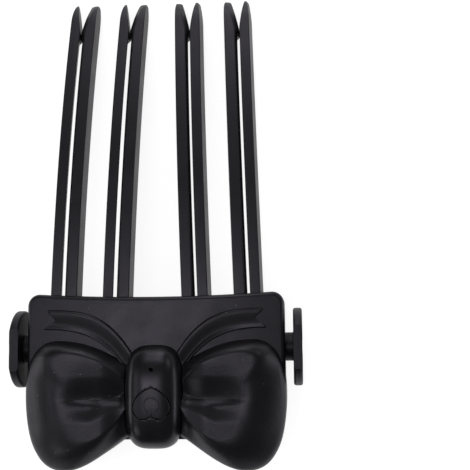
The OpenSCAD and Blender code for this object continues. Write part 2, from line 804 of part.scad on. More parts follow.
module sliding_comb() {
    difference() {
        union() {
            for (x = [outer_slot_x, inner_slot_x]) {
                tine(inner_section, inner_tip, x);
                translate([x - pair_far + 0.4, rail_front - 1, comb_rail_base])
                cube([pair_far - slot_w - 0.7, 1.6, comb_rail_top - comb_rail_base - 0.2]);
            }
            translate([inner_slot_x - pair_far, rail_back, comb_rail_base])
            cube([rail_hw - inner_slot_x + pair_far, rail_front - rail_back, comb_rail_top - comb_rail_base]);
            translate([bracket_out - bracket_t, -4.5, axis_z - 4.5])
            cube([bracket_t, rail_back + 3.7, comb_rail_top - axis_z + 4.5]);
            translate([bracket_out - bracket_t, -4.5, comb_rail_base])
            cube([bracket_t, rail_back + 5, comb_rail_top - comb_rail_base]);
        }
        translate([bracket_out - bracket_t - 1, 0, axis_z])
        rotate([0, 90, 0]) cylinder(r = screw_r + 0.15, h = bracket_t + 2);
    }
}

module push_pad() {
    collar_r = stem_d / 2 + 1.4;
    rim_r = 0.7;
    inside = case_hw - wall;
    pad_in = case_hw + pad_gap;
    difference() {
        translate([0, 0, axis_z])
        rotate([0, 90, 0]) {
            translate([0, 0, bracket_out + eps]) cylinder(d = stem_d, h = pad_in - bracket_out);
            translate([0, 0, bracket_out + eps]) cylinder(r = collar_r, h = inside - slide_gap - bracket_out);
            intersection() {
                translate([0, 0, pad_in])
                rotate_extrude() {
                    square([pad_d / 2 - rim_r, pad_t]);
                    translate([0, rim_r]) square([pad_d / 2, pad_t - 2 * rim_r]);
                    for (y = [rim_r, pad_t - rim_r]) translate([pad_d / 2 - rim_r, y]) circle(r = rim_r);
                }
                translate([0, 0, pad_in + pad_t / 2]) cube([pad_h, 2 * pad_d, 2 * pad_t], center = true);
            }
        }
        translate([bracket_out - 1, 0, axis_z])
        rotate([0, 90, 0]) cylinder(r = screw_r + 0.02, h = 6);
    }
}

module pad_screw() {
    translate([bracket_out - bracket_t - 1.5, 0, axis_z])
    rotate([0, 90, 0]) {
        cylinder(r = 2, h = 1.5);
        cylinder(r = screw_r, h = bracket_t + 6);
    }
}

module left_comb() {
    color([0.09, 0.09, 0.1]) mirror([1, 0, 0]) sliding_comb();
}

module right_comb() {
    color([0.09, 0.09, 0.1]) sliding_comb();
}

module left_push_pad() {
    color([0.08, 0.08, 0.09]) mirror([1, 0, 0]) push_pad();
}

module right_push_pad() {
    color([0.08, 0.08, 0.09]) push_pad();
}

module left_pad_screw() {
    color([0.7, 0.7, 0.72]) mirror([1, 0, 0]) pad_screw();
}

module right_pad_screw() {
    color([0.7, 0.7, 0.72]) pad_screw();
}

// Return spring: one unbroken tube with closed turns at both ends

spring_wire = 0.7;
spring_turns = 8;
ring_count = 8;
spring_from = post_x + spring_wire / 2;
spring_to = bracket_out - bracket_t - spring_wire / 2;

module return_spring() {
    steps = spring_turns * ring_count;
    mid_r = spring_r - spring_wire / 2;
    path = [
        for (i = [0 : steps])
            let (a = 360 * i / ring_count)
            [mix(spring_from, spring_to, i / steps), mid_r * cos(a), axis_z + mid_r * sin(a)]
    ];
    gaps = [for (i = [0 : steps - ring_count]) norm(path[i + ring_count] - path[i]) - spring_wire];
    echo(least_spring_gap = min(gaps));
    wire(path, spring_wire, 6);
}

module left_spring() {
    color([0.75, 0.76, 0.78]) mirror([1, 0, 0]) return_spring();
}

module right_spring() {
    color([0.75, 0.76, 0.78]) return_spring();
}

module case_screws() {
    color([0.6, 0.6, 0.62]) {
        lugs(case_lugs, head_r, screw_sink - head_t, screw_sink);
        lugs(case_lugs, screw_r - 0.02, screw_sink - 0.1, deck_z - 2);
    }
}

// Soft plugs, flush with the rear face, over the heads of the case screws
module screw_plugs() {
    color([0.12, 0.12, 0.13]) lugs(case_lugs, head_r + 0.13, 0, screw_sink - head_t - 0.1);
}

module knot_screws() {
    color([0.7, 0.7, 0.72]) {
        lugs([knot_lug_low], head_r, deck_z - head_t, deck_z);
        lugs([knot_lug_low], screw_r * 0.8 - 0.02, deck_z - 0.1, plate_z + 3);
        translate([knot_lug[0], knot_lug[1], deck_z - head_t]) cylinder(r = head_r, h = head_t);
        translate([knot_lug[0], knot_lug[1], deck_z - 0.1]) cylinder(r = screw_r * 0.8 - 0.02, h = wall + 3);
    }
}

module board_screws() {
    color([0.7, 0.7, 0.72]) {
        lugs([board_lug, board_lug_low], head_r - 0.2, board_z - 1, board_z);
        lugs([board_lug, board_lug_low], screw_r * 0.8 - 0.02, board_z - 0.1, deck_z + 0.6);
    }
}

rear_cover();
front_cover();
knot_cover();
power_button();
switch_plunger();
tact_switch();
light_pipe();
indicator_light();
circuit_board();
control_chips();
charging_inlet();
inlet_tongue();
battery();
battery_pad();
battery_leads();
fixed_comb();
heater_strips();
heater_leads();
thermal_cutout();
comb_screws();
left_comb();
right_comb();
left_push_pad();
right_push_pad();
left_pad_screw();
right_pad_screw();
left_spring();
right_spring();
case_screws();
screw_plugs();
knot_screws();
board_screws();
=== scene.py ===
# %% [markdown]
# A heated hair clip, seen from above on a white table. The frame holds every working piece of it at
# its real size, and this lesson gives each piece that shows its final shape and finish: softly
# rounded mouldings in black plastic, which live from their edges and from what they reflect.

# %% Load the frame
import math

import bmesh
import bpy
from bmesh.types import BMEdge, BMesh, BMFace, BMVert
from mathutils import Matrix, Vector


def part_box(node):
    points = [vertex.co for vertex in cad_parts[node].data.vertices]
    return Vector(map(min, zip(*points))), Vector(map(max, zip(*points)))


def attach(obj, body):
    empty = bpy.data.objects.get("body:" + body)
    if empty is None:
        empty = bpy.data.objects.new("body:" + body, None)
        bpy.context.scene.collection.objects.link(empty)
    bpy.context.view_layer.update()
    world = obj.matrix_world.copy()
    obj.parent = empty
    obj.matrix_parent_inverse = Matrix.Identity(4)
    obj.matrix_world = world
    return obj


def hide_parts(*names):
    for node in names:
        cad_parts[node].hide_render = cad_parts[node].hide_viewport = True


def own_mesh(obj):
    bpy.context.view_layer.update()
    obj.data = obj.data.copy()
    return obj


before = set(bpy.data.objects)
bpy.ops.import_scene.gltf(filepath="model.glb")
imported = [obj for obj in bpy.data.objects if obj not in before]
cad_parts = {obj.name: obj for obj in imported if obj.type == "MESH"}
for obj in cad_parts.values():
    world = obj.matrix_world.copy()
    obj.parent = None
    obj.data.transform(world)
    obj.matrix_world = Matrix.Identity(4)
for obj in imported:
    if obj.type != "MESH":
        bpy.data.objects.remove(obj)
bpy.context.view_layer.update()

MM = 0.001
scene = bpy.context.scene
print("nodes in the frame:", len(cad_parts))

# %% [markdown]
# Sizes that several pieces share are written here once, in millimetres. Both covers, the knot and
# the combs are drawn from the same few curves, so a size that changes here changes all of them.

# %% Shared sizes
CASE_HW, TOP_Y, TOP_SAG, CORNER_R = 38.2, 15.2, 1.1, 3.5
LOW_Y, NOTCH_HW, NOTCH_Y = -35.4, 9.4, -26.5
SPLIT_Z, SIDE_TOP_Z, PLATE_Z, RIM_Z, AXIS_Z = 12.0, 21.0, 22.0, 27.2, 12.0
WALL = 2.0
DECK_Z = PLATE_Z - WALL
KNOT_HW, KNOT_HL, KNOT_Y = 8.7, 15.05, -13.95
STEM_R, PAD_TRAVEL = 4.25, 2.2
TINE_T, TINE_FACE, SLOT_W = 5.7, 3.2, 0.7
PAIR_NEAR, PAIR_FAR = -TINE_FACE - 0.75, SLOT_W + 0.75 + TINE_FACE + 0.5
FRONT_Z = DECK_Z - 0.05
OUTER_SLOT_X = CASE_HW - 10.05
INNER_SLOT_X = 0.444 * OUTER_SLOT_X
SLOTS = (OUTER_SLOT_X, INNER_SLOT_X)

# %% [markdown]
# Curves come first. A Bezier stretch, an arc and their mirror image are enough to draw the bow.

# %% Curves
def bezier(a, b, c, d, n):
    """n points from a up to, but without, d."""
    points = []
    for i in range(n):
        t = i / n
        s = 1 - t
        points.append(
            Vector(a) * s**3 + Vector(b) * 3 * s * s * t + Vector(c) * 3 * s * t * t + Vector(d) * t**3
        )
    return points


def arc(cx, cy, r, start, end, n):
    """n + 1 points on an arc, with its angles in degrees."""
    turns = [math.radians(start + (end - start) * i / n) for i in range(n + 1)]
    return [Vector((cx + r * math.cos(t), cy + r * math.sin(t))) for t in turns]


def mirrored(points):
    return [Vector((-p.x, p.y)) for p in reversed(points)]


def closed(half):
    """The half outline and its mirror image, without the points on the middle line twice."""
    return half + [p for p in mirrored(half) if p.x < -1e-6]


def inset(points, d):
    """Each point of a clockwise outline moved inwards, square to its two neighbours."""
    moved = []
    for i, p in enumerate(points):
        t = (points[(i + 1) % len(points)] - points[i - 1]).normalized()
        moved.append(p + d * Vector((t.y, -t.x)))
    return moved


def smooth(t):
    t = min(max(t, 0.0), 1.0)
    return t * t * (3 - 2 * t)


def mix(a, b, t):
    return a + (b - a) * t


print("a quarter turn in 2 steps:", [tuple(round(v, 2) for v in p) for p in arc(0, 0, 1, 0, 90, 2)])

# %% [markdown]
# The casing's outline: a nearly straight edge where the tines leave, a small corner, and one big
# lobe on each side that draws in to a notch under the knot.

# %% Outline of the casing
SIDE_END = Vector((CASE_HW + 0.1, -9.0))
LOBE_CORNER = Vector((CASE_HW - 2.9, LOW_Y + 5))
LOBE_LOW = Vector((CASE_HW - 12.7, LOW_Y))
NOTCH = Vector((NOTCH_HW, NOTCH_Y))

top_edge = [
    Vector((i / 18 * (CASE_HW - CORNER_R), TOP_Y + TOP_SAG * (i / 18) ** 2)) for i in range(18)
]
corner = arc(CASE_HW - CORNER_R, TOP_Y + TOP_SAG - CORNER_R, CORNER_R, 90, 0, 12)
side = [mix(corner[-1], SIDE_END, i / 8) for i in range(1, 8)]
lobe_side = (
    bezier(SIDE_END, SIDE_END + Vector((0.6, -6)), LOBE_CORNER + Vector((3.3, 5.2)), LOBE_CORNER, 26)
    + bezier(LOBE_CORNER, LOBE_CORNER + Vector((-2.3, -4.2)), LOBE_LOW + Vector((4, -0.6)), LOBE_LOW, 18)
    + bezier(LOBE_LOW, LOBE_LOW + Vector((-5.5, 0.8)), NOTCH + Vector((5.6, -4)), NOTCH, 22)
)
half_outline = top_edge + corner + side + lobe_side + [NOTCH]
outline = closed(half_outline)
print("outline points:", len(outline))

# %% [markdown]
# Helpers that turn a drawn outline into a moulding. An outline becomes one face, the face is
# extruded, and its rim is bevelled round: that is how most covers start. Freely curved forms come
# from a grid whose points are all placed by one rule; its seam and its poles are merged after.

# %% Solids from outlines and grids
def everything(bm):
    return bm.verts[:] + bm.edges[:] + bm.faces[:]


def only(kind, geom):
    """The points, edges or faces of what an operator gives back."""
    return [g for g in geom if isinstance(g, kind)]


def prism(bm, points, low, high):
    """A closed upright solid over an outline. Gives the edges round its bottom and its top."""
    face = bm.faces.new([bm.verts.new((p.x * MM, p.y * MM, low * MM)) for p in points])
    bottom = list(face.edges)
    made = bmesh.ops.extrude_face_region(bm, geom=[face], use_keep_orig=True)["geom"]
    bmesh.ops.translate(bm, verts=only(BMVert, made), vec=(0, 0, (high - low) * MM))
    bmesh.ops.recalc_face_normals(bm, faces=bm.faces[:])
    return bottom, only(BMEdge, made)


def face_outwards(bm):
    bmesh.ops.recalc_face_normals(bm, faces=bm.faces[:])
    if bm.calc_volume(signed=True) < 0:
        bmesh.ops.reverse_faces(bm, faces=bm.faces[:])


def shaped_grid(columns, rows, place):
    """A grid whose points are put where place(column, row) says, in millimetres."""
    bm = bmesh.new()
    made = bmesh.ops.create_grid(bm, x_segments=columns, y_segments=rows, size=0.5)["verts"]
    for v in made:
        v.co = place(round((v.co.x + 0.5) * columns), round((v.co.y + 0.5) * rows)) * MM
    bmesh.ops.remove_doubles(bm, verts=made, dist=1e-7)
    face_outwards(bm)
    return bm


def other_side(bm):
    """The mirror image of a closed form."""
    copy = bm.copy()
    bmesh.ops.scale(copy, vec=(-1, 1, 1), verts=copy.verts[:])
    bmesh.ops.reverse_faces(copy, faces=copy.faces[:])
    return copy


def both_sides(*forms):
    return [side for form in forms for side in (form.copy(), other_side(form))]


bm = bmesh.new()
prism(bm, outline, 0, 1)
print("area of the casing:", round(bm.calc_volume() / MM**3), "square mm")
bm.free()

# %% [markdown]
# A sharp edge never shines, and a real moulding has none, so edges are found by the angle of
# their faces and bevelled. Posts, wells and windows need only boxes and rods.

# %% Edges, boxes and rods
def round_edges(bm, edges, radius, segments=4):
    bmesh.ops.bevel(
        bm, geom=edges, offset=radius * MM, offset_type="OFFSET", segments=segments,
        profile=0.5, affect="EDGES", material=-1, clamp_overlap=True,
    )


def sharp_edges(bm, degrees, where=lambda middle: True):
    """Edges where two faces meet at more than this angle, and whose middle is in the right place."""
    limit = math.radians(degrees)
    return [
        e for e in bm.edges
        if len(e.link_faces) == 2 and e.calc_face_angle() > limit
        and where((e.verts[0].co + e.verts[1].co) / 2 / MM)
    ]


def block(bm, low, high):
    """A box between two corners, in millimetres."""
    size = [(h - l) * MM for l, h in zip(low, high)]
    centre = [(h + l) / 2 * MM for l, h in zip(low, high)]
    place = Matrix.Translation(centre) @ Matrix.Diagonal((*size, 1))
    bmesh.ops.create_cube(bm, size=1, matrix=place)


def rod(bm, start, direction, r, length, segments=48):
    """A closed cylinder from a point along a direction, in millimetres."""
    axis = Vector(direction).normalized()
    turn = Vector((0, 0, 1)).rotation_difference(axis).to_matrix().to_4x4()
    middle = (Vector(start) + axis * length / 2) * MM
    bmesh.ops.create_cone(
        bm, cap_ends=True, segments=segments, radius1=r * MM, radius2=r * MM, depth=length * MM,
        matrix=Matrix.Translation(middle) @ turn,
    )


bm = bmesh.new()
block(bm, (0, 0, 0), (4, 4, 4))
print("edges of a box to soften:", len(sharp_edges(bm, 50)))
bm.free()

# %% [markdown]
# The last helpers join closed forms by Booleans and finish a piece: its material, its shading, the
# body that it moves with and the nodes of the frame that it stands for. Weighted normals keep big
# faces flat and let only the narrow bevels bend the light.

# %% Joining and finishing
def mesh_of(bm, name):
    mesh = bpy.data.meshes.new(name)
    bm.to_mesh(mesh)
    bm.free()
    return mesh


def shade(mesh, degrees=38):
    for polygon in mesh.polygons:
        polygon.use_smooth = True
    mesh.set_sharp_from_angle(angle=math.radians(degrees))


def combine(operation, mesh, *tools):
    """The mesh joined with other closed forms, or with them taken out of it, one after the other."""
    for form in tools:
        body = bpy.data.objects.new("body", mesh)
        if isinstance(form, BMesh):
            form = mesh_of(form, "tool")
        tool = bpy.data.objects.new("tool", form)
        scene.collection.objects.link(body)
        scene.collection.objects.link(tool)
        step = body.modifiers.new("step", "BOOLEAN")
        step.operation = operation
        step.solver = "MANIFOLD"
        step.object = tool
        graph = bpy.context.evaluated_depsgraph_get()
        mesh = bpy.data.meshes.new_from_object(body.evaluated_get(graph))
        bpy.data.objects.remove(body)
        bpy.data.objects.remove(tool)
    return mesh


def piece(name, mesh, mat, body, *nodes, degrees=38, weighted=False):
    """A finished piece: its mesh, its material, what it moves with and the nodes that it stands for."""
    mesh.name = name
    mesh.materials.clear()
    mesh.materials.append(mat)
    shade(mesh, degrees)
    o = bpy.data.objects.new(name, mesh)
    scene.collection.objects.link(o)
    if weighted:
        o.modifiers.new("weighted", "WEIGHTED_NORMAL").keep_sharp = True
    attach(o, body)
    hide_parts(*nodes)
    print(name, len(mesh.vertices), "points")
    return o


# %% [markdown]
# A finish is a small network of nodes that ends in the shader. These helpers make a material and
# add nodes to it, so that each finish below reads as a list of what it mixes.

# %% Nodes of a material
def new_material(name):
    """A material, its nodes and its shader."""
    mat = bpy.data.materials.new(name)
    mat.use_nodes = True
    nodes = mat.node_tree.nodes
    return mat, nodes, nodes["Principled BSDF"]


def put(node, **settings):
    """Sets inputs of a node: To_Min=0.2 sets the input To Min, and so on."""
    for socket, value in settings.items():
        node.inputs[socket.replace("_", " ")].default_value = value
    return node


def add(nodes, kind, **settings):
    return put(nodes.new("ShaderNode" + kind), **settings)


def add_mix(nodes, low=(0, 0, 0), high=(1, 1, 1)):
    """A node that goes from one colour to another as its factor rises."""
    node = nodes.new("ShaderNodeMix")
    node.data_type = "RGBA"
    return put(node, A=(*low, 1), B=(*high, 1))


def join(node, output, other, socket):
    """A link from an output of one node to an input of another."""
    node.id_data.links.new(node.outputs[output], other.inputs[socket])


def tune(mat, **settings):
    """Sets inputs of a material's shader."""
    put(mat.node_tree.nodes["Principled BSDF"], **settings)


print("materials before the first finish:", len(bpy.data.materials))

# %% [markdown]
# Black moulded plastic looks flat in a render unless three things are there: a very fine grain
# from the mould, a roughness that drifts a little over the surface, and a few specks of dust.
# A noise gives each of the first two, and the cells of a Voronoi texture the third.

# %% Plastic finishes
ROUGH_DRIFT, BLOTCH, SPECK_CELL = 0.05, 9, 3.2
DUST_GREY = (0.35, 0.34, 0.33)


def moulded(name, colour, rough, grain=0.02, grain_size=0.35, dust=0.0):
    """Moulded plastic, with the height and the size of its grain in millimetres."""
    mat, nodes, shader = new_material(name)
    where = nodes.new("ShaderNodeTexCoord")

    def noise(size_mm, detail, roughness=0.5):
        n = add(nodes, "TexNoise", Scale=1 / (size_mm * MM), Detail=detail, Roughness=roughness)
        join(where, "Object", n, "Vector")
        return n

    def span(low, high):
        r = add(nodes, "MapRange", From_Min=0.25, From_Max=0.75, To_Min=low, To_Max=high)
        join(blotch, "Fac", r, "Value")
        return r

    blotch, fine = noise(BLOTCH, 3), noise(grain_size, 4, 0.6)
    base = add_mix(nodes, [c * 0.86 for c in colour], [c * 1.14 for c in colour])
    join(span(0, 1), "Result", base, "Factor")
    if dust:
        cells = add(nodes, "TexVoronoi", Scale=1 / (SPECK_CELL * MM))
        speck = add(nodes, "MapRange", From_Min=0.05, From_Max=0.02, To_Max=dust)
        dusty = add_mix(nodes, high=DUST_GREY)
        join(where, "Object", cells, "Vector")
        join(cells, "Distance", speck, "Value")
        join(speck, "Result", dusty, "Factor")
        join(base, "Result", dusty, "A")
        base = dusty
    bump = add(nodes, "Bump", Strength=0.6, Distance=grain * MM)
    join(base, "Result", shader, "Base Color")
    join(span(rough - ROUGH_DRIFT, rough + ROUGH_DRIFT), "Result", shader, "Roughness")
    join(fine, "Fac", bump, "Height")
    join(bump, "Normal", shader, "Normal")
    return mat


print("dust may lie once in every cell of about", SPECK_CELL, "mm")

# %% [markdown]
# The five black plastics of the outside differ only a little: the casing has the coarsest grain,
# the knot the most gloss, and the tines are a shade paler. All of them shine faintly violet.

# %% Black plastics
VIOLET_SHINE = (0.90, 0.855, 1.0, 1)
casing_black = moulded(
    "casing_black", (0.0058, 0.0055, 0.0066), 0.36, grain=0.07, grain_size=0.45, dust=0.5
)
knot_black = moulded("knot_black", (0.0055, 0.0053, 0.0064), 0.31, grain=0.012, dust=0.4)
button_black = moulded("button_black", (0.0055, 0.0053, 0.0062), 0.36, grain=0.01)
tine_black = moulded("tine_black", (0.0085, 0.008, 0.0095), 0.40, grain=0.012, grain_size=0.5)
pad_black = moulded("pad_black", (0.007, 0.007, 0.008), 0.42, grain=0.015)
for plastic in (casing_black, knot_black, button_black, tine_black, pad_black):
    tune(plastic, Specular_Tint=VIOLET_SHINE)
tune(pad_black, Specular_IOR_Level=0.4)
print("materials with the black plastics:", len(bpy.data.materials))

# %% [markdown]
# Metal, foil and board finishes for the small pieces that show through gaps, or only when the clip
# is taken apart.

# %% Metal and inner finishes
METAL_GRAIN = 0.25


def metal(name, colour, rough, stretch=(1, 1, 1)):
    """Metal with fine streaks: a stretch of 6 along an axis makes them 6 times finer that way."""
    mat, nodes, shader = new_material(name)
    put(shader, Metallic=1)
    where = nodes.new("ShaderNodeTexCoord")
    lay = add(nodes, "Mapping", Scale=stretch)
    grain = add(nodes, "TexNoise", Scale=1 / (METAL_GRAIN * MM))
    ramp = add(nodes, "MapRange", To_Min=rough * 0.7, To_Max=rough * 1.4)
    tone = add_mix(nodes, [c * 0.85 for c in colour], colour)
    join(where, "Object", lay, "Vector")
    join(lay, "Vector", grain, "Vector")
    join(grain, "Fac", ramp, "Value")
    join(grain, "Fac", tone, "Factor")
    join(ramp, "Result", shader, "Roughness")
    join(tone, "Result", shader, "Base Color")
    return mat


plug_rubber = moulded("plug_rubber", (0.024, 0.024, 0.025), 0.7, grain=0.02, grain_size=0.25)
# The light rod is near black and barely reflects: painted shade, so the well over it looks dark.
pipe_painted_shade = moulded("pipe_painted_shade", (0.004, 0.004, 0.0045), 0.6, grain=0.004)
tune(pipe_painted_shade, Specular_IOR_Level=0.08)
steel = metal("screw_steel", (0.58, 0.58, 0.60), 0.32)
plated = metal("plated_steel", (0.72, 0.72, 0.73), 0.25, (1, 6, 1))
foil = metal("heater_foil", (0.75, 0.42, 0.20), 0.35, (1, 8, 1))
cell_foil = metal("cell_foil", (0.62, 0.63, 0.65), 0.4, (5, 1, 1))
inner_black = moulded("inner_black", (0.03, 0.03, 0.03), 0.55)
mask_green = moulded("mask_green", (0.010, 0.075, 0.03), 0.35, grain=0.02, grain_size=1.2)
ceramic = moulded("ceramic", (0.62, 0.60, 0.54), 0.5)
wire_red = moulded("wire_red", (0.35, 0.02, 0.015), 0.45)
foam_grey = moulded("foam_grey", (0.06, 0.06, 0.06), 0.8, grain=0.2, grain_size=0.6)

clear = moulded("clear_plastic", (0.55, 0.57, 0.6), 0.3, grain=0.01)
tune(clear, Transmission_Weight=0.5)
print("materials with the inner finishes:", len(bpy.data.materials))

# %% [markdown]
# Every node of the frame gets a finish here, also those that a finer piece replaces further down.
# The inner pieces are seen only when the clip is taken apart, and keep the shape that they have.

# %% Finish for the nodes of the frame
NODE_ANGLE = 30


def dress(mat, *names):
    for name in names:
        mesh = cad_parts[name].data
        mesh.materials.clear()
        mesh.materials.append(mat)
        shade(mesh, NODE_ANGLE)


dress(casing_black, "rear_cover", "front_cover")
dress(plug_rubber, "screw_plugs")
dress(knot_black, "knot_cover")
dress(button_black, "power_button")
dress(tine_black, "fixed_comb", "left_comb", "right_comb")
dress(pad_black, "left_push_pad", "right_push_pad")
dress(plated, "charging_inlet", "tact_switch")
dress(inner_black, "inlet_tongue", "control_chips", "switch_plunger")
dress(mask_green, "circuit_board")
dress(cell_foil, "battery")
dress(foam_grey, "battery_pad")
dress(wire_red, "battery_leads", "heater_leads")
dress(foil, "heater_strips")
dress(ceramic, "thermal_cutout", "indicator_light")
dress(clear, "light_pipe")
dress(steel, "comb_screws", "case_screws", "knot_screws", "board_screws",
      "left_pad_screw", "right_pad_screw", "left_spring", "right_spring")
print("nodes without a finish:", [n for n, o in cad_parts.items() if not o.data.materials])

# %% [markdown]
# The plate between the tines and the lobes: a prism over the upper half of the outline, with a neck
# that runs on below the knot. Its top is crowned: it falls by 1.3 mm towards both sides, so that a
# reflection fades out there. For that it is first cut into strips, which can follow a curve.

# %% Plate
CROWN, STRIPS, STRIP_W = 1.3, 17, 2.1
PLATE_EDGE, NECK_IN = 1.25, 3.3
plate_half = [p for p in half_outline if p.y > SIDE_END.y - 0.01]
plate_half += [Vector((CASE_HW - 2, -11)), Vector((NOTCH_HW - NECK_IN, -11)), NOTCH - Vector((NECK_IN, 0))]
bm = bmesh.new()
upper_rim = prism(bm, closed(plate_half), SPLIT_Z, PLATE_Z)[1]
round_edges(bm, upper_rim, PLATE_EDGE, 5)
for i in range(-STRIPS, STRIPS + 1):
    cut = Vector((i * STRIP_W * MM, 0, 0))
    bmesh.ops.bisect_plane(bm, geom=everything(bm), plane_co=cut, plane_no=(1, 0, 0))
for v in bm.verts:
    raised = smooth((v.co.z / MM - SPLIT_Z) / (PLATE_Z - SPLIT_Z))
    v.co.z -= raised * CROWN * MM * (v.co.x / MM / CASE_HW) ** 2
plate = mesh_of(bm, "plate")
print("plate faces:", len(plate.polygons))

# %% [markdown]
# The lobes: a puffed rim round a dished middle, with folds that fan out from the knot as cloth
# would. The real form is sculpted, so here a height is worked out for each point from its distance
# to the rim and its place beside the knot. The sharpest line is the crease below the valley. It
# runs from the hub straight to one point of the rim.

# %% Height of a lobe
HUB = Vector((7.0, -14.5))
SHOULDER = Vector((CASE_HW - 9.2, 2.5))
lobe_outline = (
    bezier((3, -8), (HUB.x + 5, -1), SHOULDER - Vector((9, -0.1)), SHOULDER, 26)
    + bezier(SHOULDER, SHOULDER + Vector((5.5, -0.1)), SIDE_END + Vector((-0.7, 7)), SIDE_END, 22)
    + lobe_side
    + [NOTCH, NOTCH + Vector((-2.6, 1.5)), NOTCH + Vector((-5, 3.2))]
    + [Vector((3, -20)), Vector((3, -16)), Vector((3, -12))]
)
CREASE_END = min(lobe_side, key=lambda p: abs(p.y - HUB.y))
RIM_RUN, PLATE_RUN, LOW_RUN = 13.0, 6.0, 14.0
EDGE_R, COLLAR_DROP, LOW_TOP_Z = 1.2, 1.4, 22.4
DISH, VALLEY, BANK, VALLEY_W, BANK_W = 0.4, 1.8, 1.15, 7.0, 2.4
BASIN_X, BASIN_Y, FINGER_Y, FINGER_FALL = 30.0, -21.5, -17.7, 0.40


def on_plate(p):
    return smooth((p.y + 24) / 22)


def folds(p):
    """Depth of the cloth: a broad valley, a crease with a bank below it, and a shallow basin."""
    above = p.y - mix(HUB.y, CREASE_END.y, (p.x - HUB.x) / (CREASE_END.x - HUB.x))
    low = max(BASIN_Y, FINGER_Y - FINGER_FALL * (p.x - 9))
    inside = smooth((p.y - low) / 5)
    valley = VALLEY * (1 - smooth(above / VALLEY_W))
    bank = VALLEY - BANK * (1 - max(1 + above / BANK_W, 0) ** 2)
    fold = (1 - smooth((p.x - 17) / 13)) * (valley if above > 0 else bank)
    basin = smooth((BASIN_X - p.x) / 11) * (1 - smooth((p.y + 10) / 7))
    return inside * (fold + DISH * basin)


def lobe_height(edge, p, d):
    low = smooth((31 - edge.x) / 8) * smooth((-20 - edge.y) / 5)
    foot = mix(mix(SIDE_TOP_Z, LOW_TOP_Z, low), PLATE_Z, on_plate(edge))
    run = mix(mix(RIM_RUN, LOW_RUN, low), PLATE_RUN, smooth((edge.y + 8) / 9))
    c = min(d / run, 1)
    rounding = EDGE_R * (1 - math.sqrt(1 - (1 - min(d / EDGE_R, 1)) ** 2))
    lift = smooth(d / 9)
    collar = COLLAR_DROP * (1 - smooth((abs(p.x) - KNOT_HW) / 7))
    return RIM_Z - (RIM_Z - foot) * (1 - c) ** 2 - rounding - lift * (folds(p) + collar)


print("depth beside the knot, above and below the crease:",
      [round(folds(Vector((12, y))), 2) for y in (-12, -14, -15, -17)])

# %% [markdown]
# Each lobe is one grid: its columns run round the outline, its rows from the middle of the flat
# bottom out to the rim, up the side, round the puffed edge and in to a hub that the knot covers.
# One column lies right on the crease, so the crease stays a clean line.

# %% Lobes
ROUND_ROWS, INNER_ROWS = 16, 34


def lobe():
    hub_z = RIM_Z - COLLAR_DROP

    def place(column, row):
        edge = lobe_outline[column % len(lobe_outline)]
        if row == 0:
            return Vector((*HUB, SPLIT_Z))
        if row == 1:
            return Vector((*edge, SPLIT_Z))
        reach = (edge - HUB).length
        run = min(RIM_RUN, 0.95 * reach)
        step = row - 2
        if step <= ROUND_ROWS:
            d = run * (1 - math.cos(step / ROUND_ROWS * math.pi / 2))
        else:
            d = mix(run, reach, (step - ROUND_ROWS) / INNER_ROWS)
        p = edge + (HUB - edge) * d / reach
        if row == ROUND_ROWS + INNER_ROWS + 2:
            return Vector((*HUB, hub_z))
        z = lobe_height(edge, p, (edge - p).length)
        return Vector((*p, mix(hub_z, z, smooth((HUB - p).length / 3))))

    return shaped_grid(len(lobe_outline), ROUND_ROWS + INNER_ROWS + 2, place)


right_lobe = lobe()
print("lobe faces:", len(right_lobe.faces))

# %% [markdown]
# The ribbon tails curl out from under the knot as bands and end in a swallow tail. A band is rounded
# along its upper edge, falls away to a hollow and stands up again as a thin rolled lip at its lower
# edge. It is a grid too: its columns go across the band, its rows along two curves.

# %% Ribbons
RIBBON_H, RIBBON_LEN, TAIL_DEPTH, TAIL_SLOPE = 1.5, 31.0, 3.3, 0.9
CURVE_STEPS, BAND_ROWS = 200, 48
RIBBON_END, RIBBON_FOOT = Vector((CASE_HW - 6.1, 11.4)), Vector((CASE_HW - 5.3, 5.8))
BEND = SHOULDER.x - 7.5
ribbon_curves = [
    bezier((5, -4), (BEND - 8, 11), (BEND - 0.5, 11.3), RIBBON_END, CURVE_STEPS) + [RIBBON_END],
    bezier((8.5, -6), (BEND - 6.5, 3.6), (BEND + 1, 6), RIBBON_FOOT, CURVE_STEPS) + [RIBBON_FOOT],
]
# Across the band: share from the upper to the lower edge, and height in shares of RIBBON_H
band_profile = [
    (0, -0.6), (0, 0.16), (0.015, 0.30), (0.05, 0.42), (0.12, 0.47), (0.22, 0.44), (0.35, 0.36),
    (0.48, 0.27), (0.60, 0.18), (0.70, 0.12), (0.77, 0.11), (0.82, 0.20), (0.87, 0.36), (0.91, 0.48),
    (0.94, 0.54), (0.965, 0.54), (0.985, 0.46), (1.0, 0.28), (1.0, -0.6),
]


def on_ribbon(share, along):
    """A point of the band: share from the upper to the lower edge, along from 0 to 1."""
    i = min(max(along, 0), 1) * CURVE_STEPS
    k = min(int(i), CURVE_STEPS - 1)
    upper, lower = [mix(c[k], c[k + 1], i - k) for c in ribbon_curves]
    return mix(upper, lower, share)


def plate_z(p):
    """Height of the crowned plate."""
    return PLATE_Z - CROWN * (p.x / CASE_HW) ** 2


